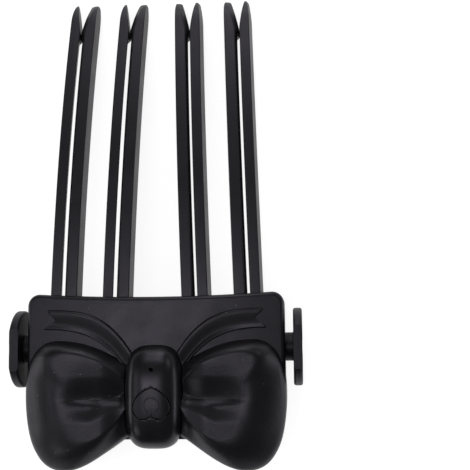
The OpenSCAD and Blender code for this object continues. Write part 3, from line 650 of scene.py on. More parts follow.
def ribbon():
    def place(column, row):
        share, height = band_profile[column % len(band_profile)]
        notch = TAIL_DEPTH / RIBBON_LEN * (1 - abs(2 * share - 1))
        full = 1 - notch
        if row == 0:
            return Vector((*on_ribbon(0.5, 0), PLATE_Z - 0.6))
        if row == BAND_ROWS + 3:
            p = on_ribbon(0.5, 1 - (TAIL_DEPTH + 0.3) / RIBBON_LEN)
            return Vector((*p, plate_z(p) - 0.9))
        if row > BAND_ROWS:
            beyond = (row - BAND_ROWS) * 0.5 * TAIL_SLOPE / RIBBON_LEN
            z = mix(height, -0.6, (row - BAND_ROWS) / 2) if height > 0 else height
            p = on_ribbon(share, min(full + beyond, 1))
            return Vector((*p, plate_z(p) + z * RIBBON_H))
        p = on_ribbon(share, full * (row - 1) / (BAND_ROWS - 1))
        return Vector((*p, plate_z(p) + height * RIBBON_H))

    return shaped_grid(len(band_profile), BAND_ROWS + 3, place)


right_ribbon = ribbon()
print("ribbon faces:", len(right_ribbon.faces))

# %% [markdown]
# The knot is a domed pill: its plan is a superellipse, between an ellipse and a rounded rectangle,
# and so is its side view. The same rule gives its inside and the pocket that it sits in, so one
# function draws them all. The heart of the button is half a curve and its mirror image.

# %% Knot shapes
KNOT_Z, KNOT_WALL, KNOT_BASE_Z, SHADOW_GAP = 29.6, 1.6, PLATE_Z - 2, 0.22
KNOT_POWER, DOME_POWER = 3.3, 2.9
HEART_HW, HEART_Y, HEART_R = 5.35, -16.7, 3.15


def knot_point(turn, hw, hl, share=1.0):
    c, s = math.cos(turn), math.sin(turn)
    x = math.copysign(abs(c) ** (2 / KNOT_POWER), c) * hw * share
    y = math.copysign(abs(s) ** (2 / KNOT_POWER), s) * hl * share
    return Vector((x, y + KNOT_Y))


def dome(share):
    return max(0.0, 1 - min(share, 1) ** DOME_POWER) ** (1 / DOME_POWER)


def knot_form(gap=0.0, inner=False, columns=128, rows=26):
    """The outer dome grown by a gap and closed below, or, with inner, the hollow cover."""

    def place(column, row):
        turn = math.pi / 2 - 2 * math.pi * column / columns
        outer = row > rows
        t = math.pi / 2 * (row - rows - 1 if outer else rows - row) / rows
        share = math.cos(t) ** 0.74 if t < math.pi / 2 - 1e-9 else 0
        if not outer and not inner:
            p = knot_point(turn, KNOT_HW + gap, KNOT_HL + gap, row / rows)
            return Vector((*p, KNOT_BASE_Z - 0.5))
        depth = -gap if outer else KNOT_WALL
        p = knot_point(turn, KNOT_HW - depth, KNOT_HL - depth, share)
        return Vector((*p, KNOT_BASE_Z + (KNOT_Z - depth - KNOT_BASE_Z) * dome(share)))

    return shaped_grid(columns, 2 * rows + 1, place)


def knot_height(p, lift=0.0):
    """Height of the dome over any point of the plan."""
    x, y = abs(p.x) / KNOT_HW, abs(p.y - KNOT_Y) / KNOT_HL
    share = (x**KNOT_POWER + y**KNOT_POWER) ** (1 / KNOT_POWER)
    return KNOT_BASE_Z + (KNOT_Z + lift - KNOT_BASE_Z) * dome(share)


heart_side = bezier(
    (0, HEART_Y + 5.8), (2.6, HEART_Y + 5.1), (HEART_HW - 0.2, HEART_Y + 2.8), (HEART_HW, HEART_Y), 22
)
heart_turn = -math.degrees(math.acos(-(HEART_HW - HEART_R) / HEART_R))
heart = closed(heart_side + arc(HEART_HW - HEART_R, HEART_Y, HEART_R, 0, heart_turn, 26))
print("heart points:", len(heart))

# %% [markdown]
# A mould leaves a fine groove where a band meets a plate, so a thin round tool follows each edge of
# the ribbons. The other tools are plainer: windows for the tines, holes for the stems, the
# opening of the charging inlet, short walls beside it, and lugs for the screws of the board.

# %% Tools for the front cover
def groove(share, r=0.2, sides=8, steps=60):
    """A thin round tool along an edge of the band, level with the plate."""
    path = [on_ribbon(share, 0.02 + 0.97 * i / steps) for i in range(steps + 1)]

    def place(column, row):
        i = min(max(row - 1, 0), steps)
        ahead = (path[min(i + 1, steps)] - path[max(i - 1, 0)]).normalized()
        if row in (0, steps + 2):
            return Vector((*path[i], plate_z(path[i]) + 0.05))
        turn = 2 * math.pi * column / sides
        p = path[i] + Vector((-ahead.y, ahead.x)) * r * math.cos(turn)
        return Vector((*p, plate_z(p) + 0.05 + r * math.sin(turn)))

    return shaped_grid(sides, steps + 2, place)


def tool_prism(points, low, high):
    bm = bmesh.new()
    prism(bm, points, low, high)
    return bm


INLET_HW, INLET_LOW, INLET_HIGH = 4.62, 14.045, 17.605
windows, holes, board_lugs, notch_walls = bmesh.new(), bmesh.new(), bmesh.new(), bmesh.new()
for x in SLOTS:
    for s in (-1, 1):
        ends = sorted((s * (x - PAIR_FAR - PAD_TRAVEL - 0.3), s * (x - PAIR_NEAR + 0.3)))
        block(windows, (ends[0], TOP_Y - WALL - 2, SPLIT_Z - 1), (ends[1], TOP_Y + 3, FRONT_Z + 0.1))
for s in (-1, 1):
    rod(holes, (s * (CASE_HW - 3), 0, AXIS_Z), (s, 0, 0), STEM_R + 0.1, 8, 64)
    ends = sorted((s * 5, s * (NOTCH_HW - 0.3)))
    block(notch_walls, (ends[0], NOTCH_Y, SPLIT_Z), (ends[1], NOTCH_Y + 3.5, SIDE_TOP_Z - 1.2))
    for y in (-8.5, -18.9):
        rod(board_lugs, (s * 8.6, y, DECK_Z - 1.2), (0, 0, 1), 1.8, 2.2)
block(holes, (-INLET_HW, NOTCH_Y - 4, INLET_LOW), (INLET_HW, NOTCH_Y + 4, INLET_HIGH))
below_plate = bmesh.new()
block(below_plate, (-20, -40, PLATE_Z - 10), (20, 10, PLATE_Z))
pocket = combine("DIFFERENCE", mesh_of(knot_form(SHADOW_GAP), "pocket"), below_plate)
half_inside = [Vector((p.x, max(p.y, NOTCH_Y + WALL))) for p in inset(outline, WALL)[: len(half_outline)]]
inside = tool_prism(closed(half_inside), SPLIT_Z - 1, DECK_Z)
print("points of the knot's pocket:", len(pocket.vertices))

# %% [markdown]
# Front cover: plate, lobes and ribbons are joined into one solid, and then every tool is taken out
# of it. All of these are closed forms, so a Boolean is safe.

# %% Front cover
front = combine("UNION", plate, notch_walls, *both_sides(right_lobe, right_ribbon))
grooves = both_sides(groove(0.0), groove(1.0, 0.16))
front = combine("DIFFERENCE", front, pocket, *grooves, inside, windows, holes)
front = combine("UNION", front, board_lugs)
piece("front_cover_shell", front, casing_black, "casing", "front_cover", degrees=26, weighted=True)

# %% [markdown]
# The knot is hollow and open below. One grid starts at the middle of its inside, runs down to the
# edge of the base and up the outside to the top, so wall and rim come out closed. The heart and the
# hole of the indicator light are then cut through, and both get a small bevel that catches light.

# %% Knot cover
LIGHT_Y, LIGHT_R = -5.84, 0.6
RIM_REACH, LIGHT_BEVEL, HEART_BEVEL = 0.08, 0.22, 0.13
knot = mesh_of(knot_form(inner=True), "knot")
below_plate = bmesh.new()
block(below_plate, (-20, NOTCH_Y - 0.3, PLATE_Z - 10), (20, 10, PLATE_Z))
light_hole = bmesh.new()
rod(light_hole, (0, LIGHT_Y, PLATE_Z), (0, 0, 1), LIGHT_R, 12, 40)
knot = combine(
    "DIFFERENCE", knot, tool_prism(inset(heart, -SHADOW_GAP), PLATE_Z, KNOT_Z + 4), below_plate, light_hole
)
knot_lugs = bmesh.new()
for x, y in ((6.6, -22.7), (-6.6, -22.7), (0, -2.2)):
    rod(knot_lugs, (x, y, PLATE_Z + 0.01), (0, 0, 1), 1.9, 3.6)
knot_lugs = combine("INTERSECT", mesh_of(knot_lugs, "lugs"), knot_form(-0.3))
knot = combine("UNION", knot, knot_lugs)
bm = bmesh.new()
bm.from_mesh(knot)
bmesh.ops.remove_doubles(bm, verts=bm.verts[:], dist=2e-6)


def on_top(middle):
    """On the outer skin, and well above the base."""
    close = abs(middle.z - knot_height(middle)) < RIM_REACH
    return close and middle.z > PLATE_Z + 3


def light_rim(middle):
    return on_top(middle) and math.hypot(middle.x, middle.y - LIGHT_Y) < 1


def heart_rim(middle):
    return on_top(middle) and -23 < middle.y < -9 and abs(middle.x) < 6.5


round_edges(bm, sharp_edges(bm, 50, light_rim), LIGHT_BEVEL, 3)
round_edges(bm, sharp_edges(bm, 50, heart_rim), HEART_BEVEL, 3)
bmesh.ops.triangulate(bm, faces=[f for f in bm.faces if len(f.verts) > 4])
knot = mesh_of(bm, "knot")
piece("knot_shell", knot, knot_black, "casing", "knot_cover", degrees=45, weighted=True)

# %% [markdown]
# The button is the heart cut out of the same dome, a touch prouder, with its edge rolled over. Its
# rows run from the middle of the top out to the edge, down the side and round the hidden flange.

# %% Power button
HEART_MIDDLE = Vector((0, HEART_Y + 0.9))
FLANGE_OUT, FLANGE_T, EDGE_ROLL, LIFT = 0.5, 0.8, 0.28, 0.12
ceiling = (KNOT_Z - KNOT_WALL - KNOT_BASE_Z) * dome((HEART_HW + FLANGE_OUT) / (KNOT_HW - KNOT_WALL))
FLANGE_TOP = KNOT_BASE_Z - 0.3 + ceiling
TOP_ROWS, ROLL_ROWS = 18, 5


def button_place(column, row):
    i = column % len(heart)
    rim = heart[i]
    if row <= TOP_ROWS:
        p = mix(HEART_MIDDLE, inset_heart[i], row / TOP_ROWS)
        return Vector((*p, knot_height(p, LIFT)))
    if row <= TOP_ROWS + ROLL_ROWS:
        t = (row - TOP_ROWS) / ROLL_ROWS * math.pi / 2
        p = mix(inset_heart[i], rim, math.sin(t))
        return Vector((*p, knot_height(p, LIFT) - EDGE_ROLL * (1 - math.cos(t))))
    foot = FLANGE_TOP - FLANGE_T
    wide = flange_heart[i]
    last = [(rim, FLANGE_TOP), (wide, FLANGE_TOP), (wide, foot), (HEART_MIDDLE, foot)]
    p, z = last[row - TOP_ROWS - ROLL_ROWS - 1]
    return Vector((*p, z))


inset_heart = inset(heart, EDGE_ROLL)
flange_heart = inset(heart, -FLANGE_OUT)
button = mesh_of(shaped_grid(len(heart), TOP_ROWS + ROLL_ROWS + 4, button_place), "button")
stalk = bmesh.new()
plunger_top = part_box("switch_plunger")[1].z / MM
stalk_len = FLANGE_TOP - FLANGE_T / 2 - plunger_top
rod(stalk, (0, HEART_Y + 1.4, plunger_top), (0, 0, 1), 1.5, stalk_len, 40)
button = combine("UNION", button, stalk)
print("the stalk under the button is", round(stalk_len, 2), "mm long")

# %% [markdown]
# The power symbol is raised: a rounded bar spun most of the way round, and a short upright bar in
# its opening. Both are sunk a little into the button, so that nothing floats over its curve.

# %% Power symbol
SYMBOL_Y, SYMBOL_R, SYMBOL_HALF_W, SYMBOL_EDGE = HEART_Y + 0.85, 2.35, 0.25, 0.14
SYMBOL_LOW, SYMBOL_TOP = KNOT_Z - 1, KNOT_Z + 0.28
OPENING = math.radians(28)
ring, bar = bmesh.new(), bmesh.new()
middle_r = SYMBOL_R - SYMBOL_HALF_W
section = [
    ring.verts.new((0, (SYMBOL_Y + middle_r + dx) * MM, z * MM))
    for dx, z in ((-SYMBOL_HALF_W, SYMBOL_LOW), (SYMBOL_HALF_W, SYMBOL_LOW),
                  (SYMBOL_HALF_W, SYMBOL_TOP), (-SYMBOL_HALF_W, SYMBOL_TOP))
]
start = ring.faces.new(section)
centre = (0, SYMBOL_Y * MM, 0)
bmesh.ops.rotate(ring, verts=section, cent=centre, matrix=Matrix.Rotation(math.pi + OPENING, 3, "Z"))
bmesh.ops.spin(ring, geom=[start], cent=centre, axis=(0, 0, 1), angle=2 * (math.pi - OPENING), steps=48)
face_outwards(ring)
round_edges(ring, sharp_edges(ring, 50, lambda middle: middle.z > KNOT_Z), SYMBOL_EDGE, 3)
bar_low = (-SYMBOL_HALF_W, SYMBOL_Y - SYMBOL_R - 0.75, SYMBOL_LOW)
bar_high = (SYMBOL_HALF_W, SYMBOL_Y - SYMBOL_R + 1.25, SYMBOL_TOP - 0.06)
block(bar, bar_low, bar_high)
round_edges(bar, sharp_edges(bar, 50), SYMBOL_EDGE, 3)
button = combine("UNION", button, ring, bar)
piece("heart_button", button, button_black, "button", "power_button", degrees=45, weighted=True)

# %% [markdown]
# The indicator shines through a short rod that ends level with the inner side of the knot's
# wall. Its finish is near black and barely reflects, as painted shade, so the hole over it reads
# as a dark well. It is turned, as on a lathe: a drawn profile is spun all the way round. The plugs
# and the push pads use the same helper.

# %% Light pipe
def lathe(profile, centre, axis, steps):
    """A round form from a profile in its own plane: (distance from the axis, place along it)."""
    turn = Vector((0, 0, 1)).rotation_difference(Vector(axis)).to_matrix()
    bm = bmesh.new()
    points = [bm.verts.new((Vector(centre) + turn @ Vector((r, 0, h))) * MM) for r, h in profile]
    edges = [bm.edges.new(pair) for pair in zip(points, points[1:])]
    bmesh.ops.spin(
        bm, geom=points + edges, cent=Vector(centre) * MM, axis=Vector(axis), angle=2 * math.pi,
        steps=steps, use_merge=True,
    )
    bmesh.ops.remove_doubles(bm, verts=bm.verts[:], dist=1e-7)
    face_outwards(bm)
    return bm


PIPE_R, TOP_R, PIPE_STEP = 1.2, 0.55, 1.2
skin = KNOT_BASE_Z + (KNOT_Z - KNOT_BASE_Z) * dome((LIGHT_Y - KNOT_Y) / KNOT_HL)
pipe_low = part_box("light_pipe")[0].z / MM
pipe_profile = [
    (0, pipe_low), (PIPE_R, pipe_low), (PIPE_R, skin - KNOT_WALL - PIPE_STEP),
    (TOP_R, skin - KNOT_WALL - PIPE_STEP), (TOP_R, skin - 1.68), (0.47, skin - 1.6), (0, skin - 1.6),
]
pipe = mesh_of(lathe(pipe_profile, (0, LIGHT_Y, 0), (0, 0, 1), 40), "pipe")
piece("light_rod", pipe, pipe_painted_shade, "casing", "light_pipe")

# %% [markdown]
# Rear cover: a shallow tray with a well rounded bottom edge. The same helpers give its posts, and
# the holes of the stems and screws are cut through it. A small bevel round its mouth draws the line
# where the two covers meet.

# %% Rear cover
FLOOR_EDGE, MOUTH_EDGE = 1.5, 0.22
POST_R, WELL_R, WELL_DEPTH, SCREW_R = 2.4, 1.75, 2.6, 1.15
LUGS = [(CASE_HW - 3.3, 9.5), (CASE_HW - 11.2, -28)]
COMB_LUG = ((OUTER_SLOT_X + INNER_SLOT_X) / 2 - 0.2, 9.0)
RAIL_BASE = FRONT_Z - TINE_T
bm = bmesh.new()
floor_rim = prism(bm, outline, 0, SPLIT_Z - 0.01)[0]
round_edges(bm, floor_rim, FLOOR_EDGE, 5)
mouth = [e for e in bm.edges if min(v.co.z for v in e.verts) > (SPLIT_Z - 0.5) * MM]
round_edges(bm, mouth, MOUTH_EDGE, 2)
tray = mesh_of(bm, "tray")
tray = combine("DIFFERENCE", tray, tool_prism(inset(outline, WALL), WALL, SPLIT_Z + 1))
posts, screw_wells, tongues = bmesh.new(), bmesh.new(), bmesh.new()
spring_posts, bosses = bmesh.new(), bmesh.new()
for s in (-1, 1):
    for x, y in LUGS:
        rod(posts, (s * x, y, 1), (0, 0, 1), POST_R, SPLIT_Z - 1.01)
        rod(screw_wells, (s * x, y, -1), (0, 0, 1), WELL_R, 1 + WELL_DEPTH, 64)
    rod(posts, (s * COMB_LUG[0], COMB_LUG[1], 1), (0, 0, 1), POST_R, RAIL_BASE - 1)
    for x in SLOTS:
        ends = sorted((s * (x - PAIR_FAR - PAD_TRAVEL + 0.3), s * (x - PAIR_NEAR - 0.3)))
        block(tongues, (ends[0], TOP_Y - WALL + 0.6, SPLIT_Z - 2), (ends[1], TOP_Y - 0.1, RAIL_BASE - 0.3))
    ends = sorted((s * 15.5, s * 17.5))
    block(spring_posts, (ends[0], -4, 1), (ends[1], 4, AXIS_Z + 4))
    rod(bosses, (s * 17.0, 0, AXIS_Z), (s, 0, 0), 2.1, 3.0)
tray = combine("UNION", tray, posts, tongues, spring_posts, bosses)
screw_bores, stem_bores = bmesh.new(), bmesh.new()
for s in (-1, 1):
    for x, y in LUGS:
        rod(screw_bores, (s * x, y, 1), (0, 0, 1), SCREW_R, SPLIT_Z, 32)
    rod(stem_bores, (s * (CASE_HW - 3), 0, AXIS_Z), (s, 0, 0), STEM_R + 0.1, 8, 64)
tray = combine("DIFFERENCE", tray, screw_wells, screw_bores, stem_bores)
piece("rear_cover_shell", tray, casing_black, "casing", "rear_cover", weighted=True)

# %% [markdown]
# Soft plugs close the screw wells in the flat back. Each is a turned disc with a rounded rim and a
# small dimple to lever it out by.

# %% Screw plugs
plugs = bmesh.new()
plug_profile = [(0, 1.3), (1.73, 1.3), (1.73, 0.22), (1.69, 0.08), (1.6, 0.02), (1.5, 0.0), (0.45, 0.0),
                (0.38, 0.03), (0.3, 0.12), (0.18, 0.2), (0, 0.22)]
for s in (-1, 1):
    for x, y in LUGS:
        one = mesh_of(lathe(plug_profile, (s * x, y, 0), (0, 0, 1), 40), "one")
        plugs.from_mesh(one)
piece("well_plugs", mesh_of(plugs, "plugs"), plug_rubber, "casing", "screw_plugs")

# %% [markdown]
# A push pad is turned in one go with its stem and the collar that holds it in the casing: a
# profile spun round the pads' axis. Its face is a shallow dish for the finger. Then it is cut flat
# at front and back, and those edges are softened too.

# %% Push pads
PAD_GAP, PAD_T, PAD_R, PAD_H = 2.5, 2.7, 11.6, 19.4
RIM, FILLET, FLAT_EDGE = 0.7, 0.25, 0.45
BRACKET_OUT, BORE_R = CASE_HW - WALL - 3, 1.02
COLLAR_R, COLLAR_OUT = STEM_R + 1.4, CASE_HW - WALL - 0.3
PAD_IN = CASE_HW + PAD_GAP
PAD_OUT = PAD_IN + PAD_T


def quarter(steps):
    return [math.pi / 2 * k / steps for k in range(steps + 1)]


pad_profile = [(0, BRACKET_OUT + 5), (BORE_R, BRACKET_OUT + 4.6), (BORE_R, BRACKET_OUT + 0.01)]
pad_profile += [(COLLAR_R, BRACKET_OUT + 0.01), (COLLAR_R, COLLAR_OUT), (STEM_R, COLLAR_OUT)]
pad_profile += [
    (STEM_R + FILLET * (1 - math.cos(t)), PAD_IN - FILLET * (1 - math.sin(t))) for t in quarter(5)
]
pad_profile += [(PAD_R - RIM + RIM * math.sin(t), PAD_IN + RIM - RIM * math.cos(t)) for t in quarter(6)]
pad_profile += [(PAD_R - RIM + RIM * math.cos(t), PAD_OUT - RIM + RIM * math.sin(t)) for t in quarter(6)]
pad_profile += [(PAD_R - 1.7, PAD_OUT), (PAD_R - 2.4, PAD_OUT - 0.14), (6, PAD_OUT - 0.3),
                (3, PAD_OUT - 0.36), (0, PAD_OUT - 0.38)]


def push_pad(side):
    bm = lathe(pad_profile, (0, 0, AXIS_Z), (1, 0, 0), 128)
    for end in (-1, 1):
        plane = Vector((0, 0, AXIS_Z + end * PAD_H / 2)) * MM
        cut = bmesh.ops.bisect_plane(
            bm, geom=everything(bm), plane_co=plane, plane_no=(0, 0, end), clear_outer=True
        )
        rim = only(BMEdge, cut["geom_cut"])
        bmesh.ops.contextual_create(bm, geom=rim)
    face_outwards(bm)
    flats = [e for f in bm.faces if len(f.verts) > 20 for e in f.edges]
    round_edges(bm, flats, FLAT_EDGE, 4)
    if side < 0:
        bm = other_side(bm)
    return mesh_of(bm, "pad")


piece("right_pad", push_pad(1), pad_black, "right_slider", "right_push_pad", weighted=True)
piece("left_pad", push_pad(-1), pad_black, "left_slider", "left_push_pad", weighted=True)

# %% [markdown]
# A return spring stands between a post of the rear cover and the comb's bracket. A coil is the
# plainest use of a spin: a small disc goes round an axis and moves along it at each step. When its
# pad is pushed the real coil shortens.

# %% Return springs
COIL_R, WIRE_R, TURNS, TURN_STEPS = 2.85, 0.35, 8, 24
POST_X, BRACKET_IN = 17.5, BRACKET_OUT - 4
coil = bmesh.new()
wire_from, wire_to = POST_X + WIRE_R, BRACKET_IN - WIRE_R
bmesh.ops.create_circle(
    coil, cap_ends=True, segments=12, radius=WIRE_R * MM,
    matrix=Matrix.Translation(Vector((wire_from, COIL_R, AXIS_Z)) * MM),
)
pitch = (wire_to - wire_from) * MM / (TURNS * TURN_STEPS)
bmesh.ops.spin(
    coil, geom=coil.faces[:], cent=Vector((0, 0, AXIS_Z)) * MM, axis=(1, 0, 0),
    angle=2 * math.pi * TURNS, dvec=(pitch, 0, 0), steps=TURNS * TURN_STEPS,
)
face_outwards(coil)
for side, sign, form in (("right", 1, coil.copy()), ("left", -1, other_side(coil))):
    spring = piece(side + "_coil", mesh_of(form, "coil"), steel, "casing", side + "_spring")
    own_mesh(spring)

# %% [markdown]
# A tine is its cross section, with rounded corners, pushed straight out of the casing and then
# spun round the centre of its long curve. The two sections of a pair differ: only the inner tine
# has a chamfer along the slot.

# %% Sweep of a tine
TINE_R, TINE_LEN = 320.0, 96.2
TIP_LEN, ROOT = 13.4, 14.4
OUTER_TAPER, INNER_TAPER, CHAMFER, INNER_FACE = 1.1, 0.4, 1.4, 1.45
outer_corners = [(0, 0), (-TINE_FACE, 0), (-TINE_FACE - 0.75, TINE_T), (-OUTER_TAPER, TINE_T)]
inner_corners = [
    (SLOT_W, CHAMFER), (INNER_FACE, 0), (INNER_FACE + TINE_FACE, 0), (PAIR_FAR, TINE_T),
    (SLOT_W + INNER_TAPER, TINE_T),
]


def sweep(bm, corners, root, length, steps, end_steps=0, edge_r=0.0):
    """A section of (distance to the middle, depth), run out of the casing and round the long curve."""
    face = bm.faces.new([bm.verts.new((-s * MM, (root - TOP_Y) * MM, -d * MM)) for s, d in corners])
    if edge_r:
        bmesh.ops.bevel(
            bm, geom=list(face.verts), offset=edge_r * MM, offset_type="OFFSET", segments=3, profile=0.5,
            affect="VERTICES", material=-1,
        )
        face = next(iter(bm.faces))
    made = bmesh.ops.extrude_face_region(bm, geom=[face])["geom"]
    face = only(BMFace, made)[0]
    bmesh.ops.translate(bm, verts=face.verts[:], vec=(0, (TOP_Y - root) * MM, 0))
    around = (0, 0, -TINE_R * MM)
    stops = [(0, length, steps)]
    if end_steps:
        stops = [(0, length - TIP_LEN, steps), (length - TIP_LEN, length, end_steps)]
    for low, high, count in stops:
        turn = math.asin(high / TINE_R) - math.asin(low / TINE_R)
        made = bmesh.ops.spin(bm, geom=[face], cent=around, axis=(-1, 0, 0), angle=turn, steps=count)
        bmesh.ops.delete(bm, geom=[face], context="FACES_ONLY")
        face = only(BMFace, made["geom_last"])[0]


print("width of a pair at the casing:", round(PAIR_FAR - PAIR_NEAR, 2), "mm")

# %% [markdown]
# After that the points of the last stretch are moved. The slot closes for a short way. Beyond it
# both tines draw back from it, a wide V that leads the hair in, and the last few millimetres thin
# to a blunt nose.

# %% Tips of the tines
LEAD_LEN, NOSE_LEN, END_LEN = 11.6, 8.0, 1.0
CLOSED_FROM, CLOSED_OVER, JOINT = 13.2, 1.4, 0.03
NOSE_DEPTH, LEAD_POWER = 0.6 * TINE_T, 1.15


def side_lines(corners, depth):
    """Where the section's slot side and far side are, at a depth."""
    hits = []
    for (s0, d0), (s1, d1) in zip(corners, corners[1:] + corners[:1]):
        if abs(d1 - d0) > 1e-6 and min(d0, d1) - 1e-3 <= depth <= max(d0, d1) + 1e-3:
            hits.append(mix(s0, s1, min(max((depth - d0) / (d1 - d0), 0), 1)))
    return min(hits), max(hits)


def shape_tip(bm, corners, outer):
    """Slot closed short of the tip, drawn back beyond it, and far side and nose rounded."""
    lead_depth, far_depth, far_len = (1.95, 0.8, 8) if outer else (2.6, 0.3, 5)
    for v in bm.verts:
        x, y, z = v.co / MM
        if y <= 0:
            continue
        turn = math.atan2(y, z + TINE_R)
        depth = min(max(TINE_R - math.hypot(y, z + TINE_R), 0), TINE_T)
        left = TINE_LEN - TINE_R * math.sin(turn)
        if left < NOSE_LEN:
            left = NOSE_LEN * (1 - math.cos(left / NOSE_LEN * math.pi / 2))
            turn = math.asin((TINE_LEN - left) / TINE_R)
        s = -x
        low, high = side_lines(corners, depth)
        share = (s - low) / (high - low) if outer else (high - s) / (high - low)
        shut = smooth((CLOSED_FROM - left) / CLOSED_OVER)
        lead = lead_depth * max(1 - left / LEAD_LEN, 0) ** LEAD_POWER
        far = far_depth * max(1 - left / far_len, 0) ** 2 * (1 - share)
        if outer:
            s += far + share * (shut * (-JOINT - high) - lead)
        else:
            met = low - JOINT if depth > CHAMFER else (SLOT_W - JOINT) * depth / CHAMFER
            s += share * (lead - shut * met) - far
        if left < NOSE_LEN:
            kept = 1 - (1 - left / NOSE_LEN) ** 2
            depth = NOSE_DEPTH + (depth - NOSE_DEPTH) * kept**0.75
        if left < END_LEN:
            middle = (TINE_FACE - far_depth + lead_depth) / 2
            middle = -middle if outer else INNER_FACE + middle
            s = middle + (s - middle) * math.sqrt(max(0, 1 - (1 - left / END_LEN) ** 2))
        r = TINE_R - depth
        v.co = Vector((-s, r * math.sin(turn), r * math.cos(turn) - TINE_R)) * MM
    bmesh.ops.remove_doubles(bm, verts=bm.verts[:], dist=1e-6)
    face_outwards(bm)


print("the inner tine at its face runs from", side_lines(inner_corners, 0), "mm")

# %% [markdown]
# A whole tine is swept, shaped at its tip and put where its slot leaves the casing. All tines lean
# a little towards the middle of the clip.

# %% Whole tines
LEAN = math.radians(1.94)


def placed(bm, slot_x):
    """From the tine's own place to where its slot leaves the casing."""
    spot = Matrix.Translation(Vector((slot_x, TOP_Y, FRONT_Z)) * MM) @ Matrix.Rotation(LEAN, 4, "Z")
    bmesh.ops.transform(bm, matrix=spot, verts=bm.verts[:])
    return bm


def tine(corners, slot_x, outer):
    bm = bmesh.new()
    sweep(bm, corners, ROOT, TINE_LEN, 34, 27, 0.3)
    shape_tip(bm, corners, outer)
    return placed(bm, slot_x)


print("the tines lean", round(math.degrees(LEAN), 2), "degrees towards the middle")

# %% [markdown]
# Each comb keeps the working end that it has in the frame, which nobody sees: its rail is copied
# from the node, cut off just inside the casing, closed, and joined to the new tines. The outer
# tines also get the channel in which their heater strip lies.

# %% Combs
def rail_of(node):
    bm = bmesh.new()
    bm.from_mesh(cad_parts[node].data)
    bmesh.ops.remove_doubles(bm, verts=bm.verts[:], dist=1e-6)
    plane = (0, (ROOT + 0.15) * MM, 0)
    cut = bmesh.ops.bisect_plane(
        bm, geom=everything(bm), plane_co=plane, plane_no=(0, 1, 0), clear_outer=True
    )
    rim = only(BMEdge, cut["geom_cut"])
    bmesh.ops.triangle_fill(bm, use_beauty=True, edges=rim)
    face_outwards(bm)
    return bm


CHANNEL_MID, CHANNEL_W, CHANNEL_T, CHANNEL_DEPTH = -2.325, 1.7, 0.7, 4.35


def channel(slot_x):
    bm = bmesh.new()
    corners = [(CHANNEL_MID + sx * CHANNEL_W / 2, CHANNEL_DEPTH + sd * CHANNEL_T / 2)
               for sx, sd in ((-1, -1), (1, -1), (1, 1), (-1, 1))]
    sweep(bm, corners, 5, TINE_LEN - TIP_LEN, 34)
    face_outwards(bm)
    return placed(bm, slot_x)


fixed = mesh_of(rail_of("fixed_comb"), "fixed")
fixed = combine("UNION", fixed, *both_sides(*[tine(outer_corners, x, True) for x in SLOTS]))
fixed = combine("DIFFERENCE", fixed, *both_sides(*[channel(x) for x in SLOTS]))
piece("fixed_tines", fixed, tine_black, "casing", "fixed_comb", degrees=40, weighted=True)
inner_tines = [tine(inner_corners, x, False) for x in SLOTS]
for side, make in (("right", BMesh.copy), ("left", other_side)):
    comb = mesh_of(rail_of(side + "_comb"), "comb")
    comb = combine("UNION", comb, *[make(t) for t in inner_tines])
    piece(side + "_tines", comb, tine_black, side + "_slider", side + "_comb", degrees=40, weighted=True)

# %% [markdown]
# The table is a white sheet. The camera sees it nearly pure white and reflections see it a little
# darker, by a glow that depends on who looks, while the clip still drops a faint shadow on it. It
# lies a hair below the clip, so that no two faces share a plane.

# %% Table
SEEN_GLOW, MIRRORED_GLOW = 0.85, 0.6
TABLE_SIZE, TABLE_DROP = 1.5, 0.02
bm = bmesh.new()
spot = Matrix.Translation((0, 0, -TABLE_DROP * MM))
bmesh.ops.create_grid(bm, x_segments=1, y_segments=1, size=TABLE_SIZE, matrix=spot)
table = bpy.data.objects.new("table", mesh_of(bm, "table"))
scene.collection.objects.link(table)
sheet, nodes, shader = new_material("white_table")
put(shader, Base_Color=(0.35, 0.35, 0.35, 1), Roughness=0.9, Emission_Color=(1, 1, 1, 1))
path = nodes.new("ShaderNodeLightPath")
last = None
SEEN_BY = {"Is Camera Ray": SEEN_GLOW, "Is Glossy Ray": MIRRORED_GLOW, "Is Transmission Ray": SEEN_GLOW}
for kind, share in SEEN_BY.items():
    glow = nodes.new("ShaderNodeMath")
    glow.operation = "MULTIPLY_ADD"
    glow.inputs[1].default_value = share
    glow.inputs[2].default_value = 0
    join(path, kind, glow, 0)
    if last:
        join(last, 0, glow, 2)
    last = glow
join(last, 0, shader, "Emission Strength")
table.data.materials.append(sheet)
print("the table glows", SEEN_GLOW, "to the camera and", MIRRORED_GLOW, "to reflections")

# %% [markdown]
# Black plastic shows little but reflections, so where the light comes from matters more than how
# strong it is. The shine in the photograph tells where the soft boxes stood: two beyond the tine
# tips, one beyond to the right, one near on the left, long low ones at both sides, a high soft one
# on the left and a narrow one overhead. The room is even, and mainly matt surfaces pick it up.

# %% Lights
ROOM_MATT, ROOM_SHINE = 0.5, 0.06
LAMP_REACH = 0.8
world = bpy.data.worlds.new("room")
world.use_nodes = True
nodes = world.node_tree.nodes
ray = nodes.new("ShaderNodeLightPath")
level = add(nodes, "MapRange", To_Min=ROOM_SHINE, To_Max=ROOM_MATT)
join(ray, "Is Diffuse Ray", level, "Value")
join(level, "Result", nodes["Background"], "Strength")
put(nodes["Background"], Color=(1, 1, 1, 1))
scene.world = world


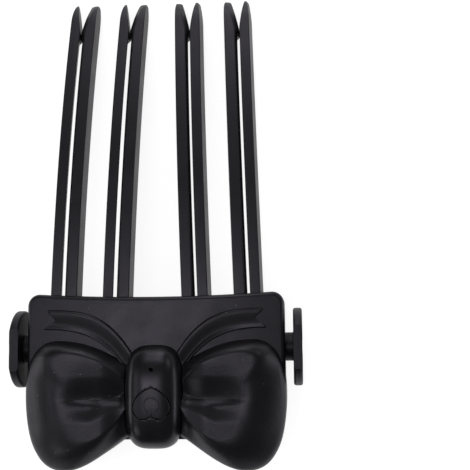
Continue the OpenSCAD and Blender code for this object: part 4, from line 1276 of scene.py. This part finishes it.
def soft_box(name, azimuth, elevation, width, height, brightness):
    """A box that faces the clip: degrees, with azimuth 0 to the right and 90 to the tips."""
    lamp = bpy.data.lights.new(name, "AREA")
    lamp.shape = "RECTANGLE"
    lamp.size, lamp.size_y = width, height
    lamp.energy = brightness * width * height
    o = bpy.data.objects.new(name, lamp)
    turn, up = math.radians(azimuth), math.radians(elevation)
    across = math.cos(up)
    o.location = LAMP_REACH * Vector((across * math.cos(turn), across * math.sin(turn), math.sin(up)))
    o.rotation_euler = o.location.to_track_quat("Z", "Y").to_euler()
    scene.collection.objects.link(o)
    print(name, "at", [round(v, 2) for v in o.location], "m")


soft_box("far_low_box", 90, 15, 0.26, 0.26, 8.0)
soft_box("far_box", 92, 38, 0.26, 0.26, 6.5)
soft_box("far_right_box", 45, 32, 0.26, 0.26, 4.0)
soft_box("near_left_box", 222, 30, 0.26, 0.26, 4.5)
soft_box("left_low_box", 180, 8, 0.5, 0.11, 10.0)
soft_box("left_high_box", 180, 46, 0.4, 0.3, 2.6)
soft_box("right_low_box", 0, 8, 0.5, 0.11, 10.0)
soft_box("overhead_box", 180, 81, 0.10, 0.3, 22.0)

# %% [markdown]
# The camera hangs over the clip, a little to its right. Its place and turns were fitted to known
# points of the clip in the photograph.

# %% Camera
CAMERA_AT = Vector((41.5, 6.0, 311.9)) * MM
PITCH, ROLL, YAW = -0.0927, -0.0610, 0.0113
FOCAL_PX, FRAME_PX = 989.8, 470
camera = bpy.data.cameras.new("camera")
camera.sensor_width = 36
camera.lens = 36 * FOCAL_PX / FRAME_PX
camera.shift_x = 1 / FRAME_PX
camera_object = bpy.data.objects.new("camera", camera)
turn = Matrix.Rotation(YAW, 3, "Z") @ Matrix.Rotation(PITCH, 3, "X") @ Matrix.Rotation(ROLL, 3, "Y")
camera_object.matrix_world = Matrix.Translation(CAMERA_AT) @ turn.transposed().to_4x4()
scene.collection.objects.link(camera_object)
scene.camera = camera_object
scene.view_settings.view_transform = "Standard"
print("focal length:", round(camera.lens, 1), "mm")
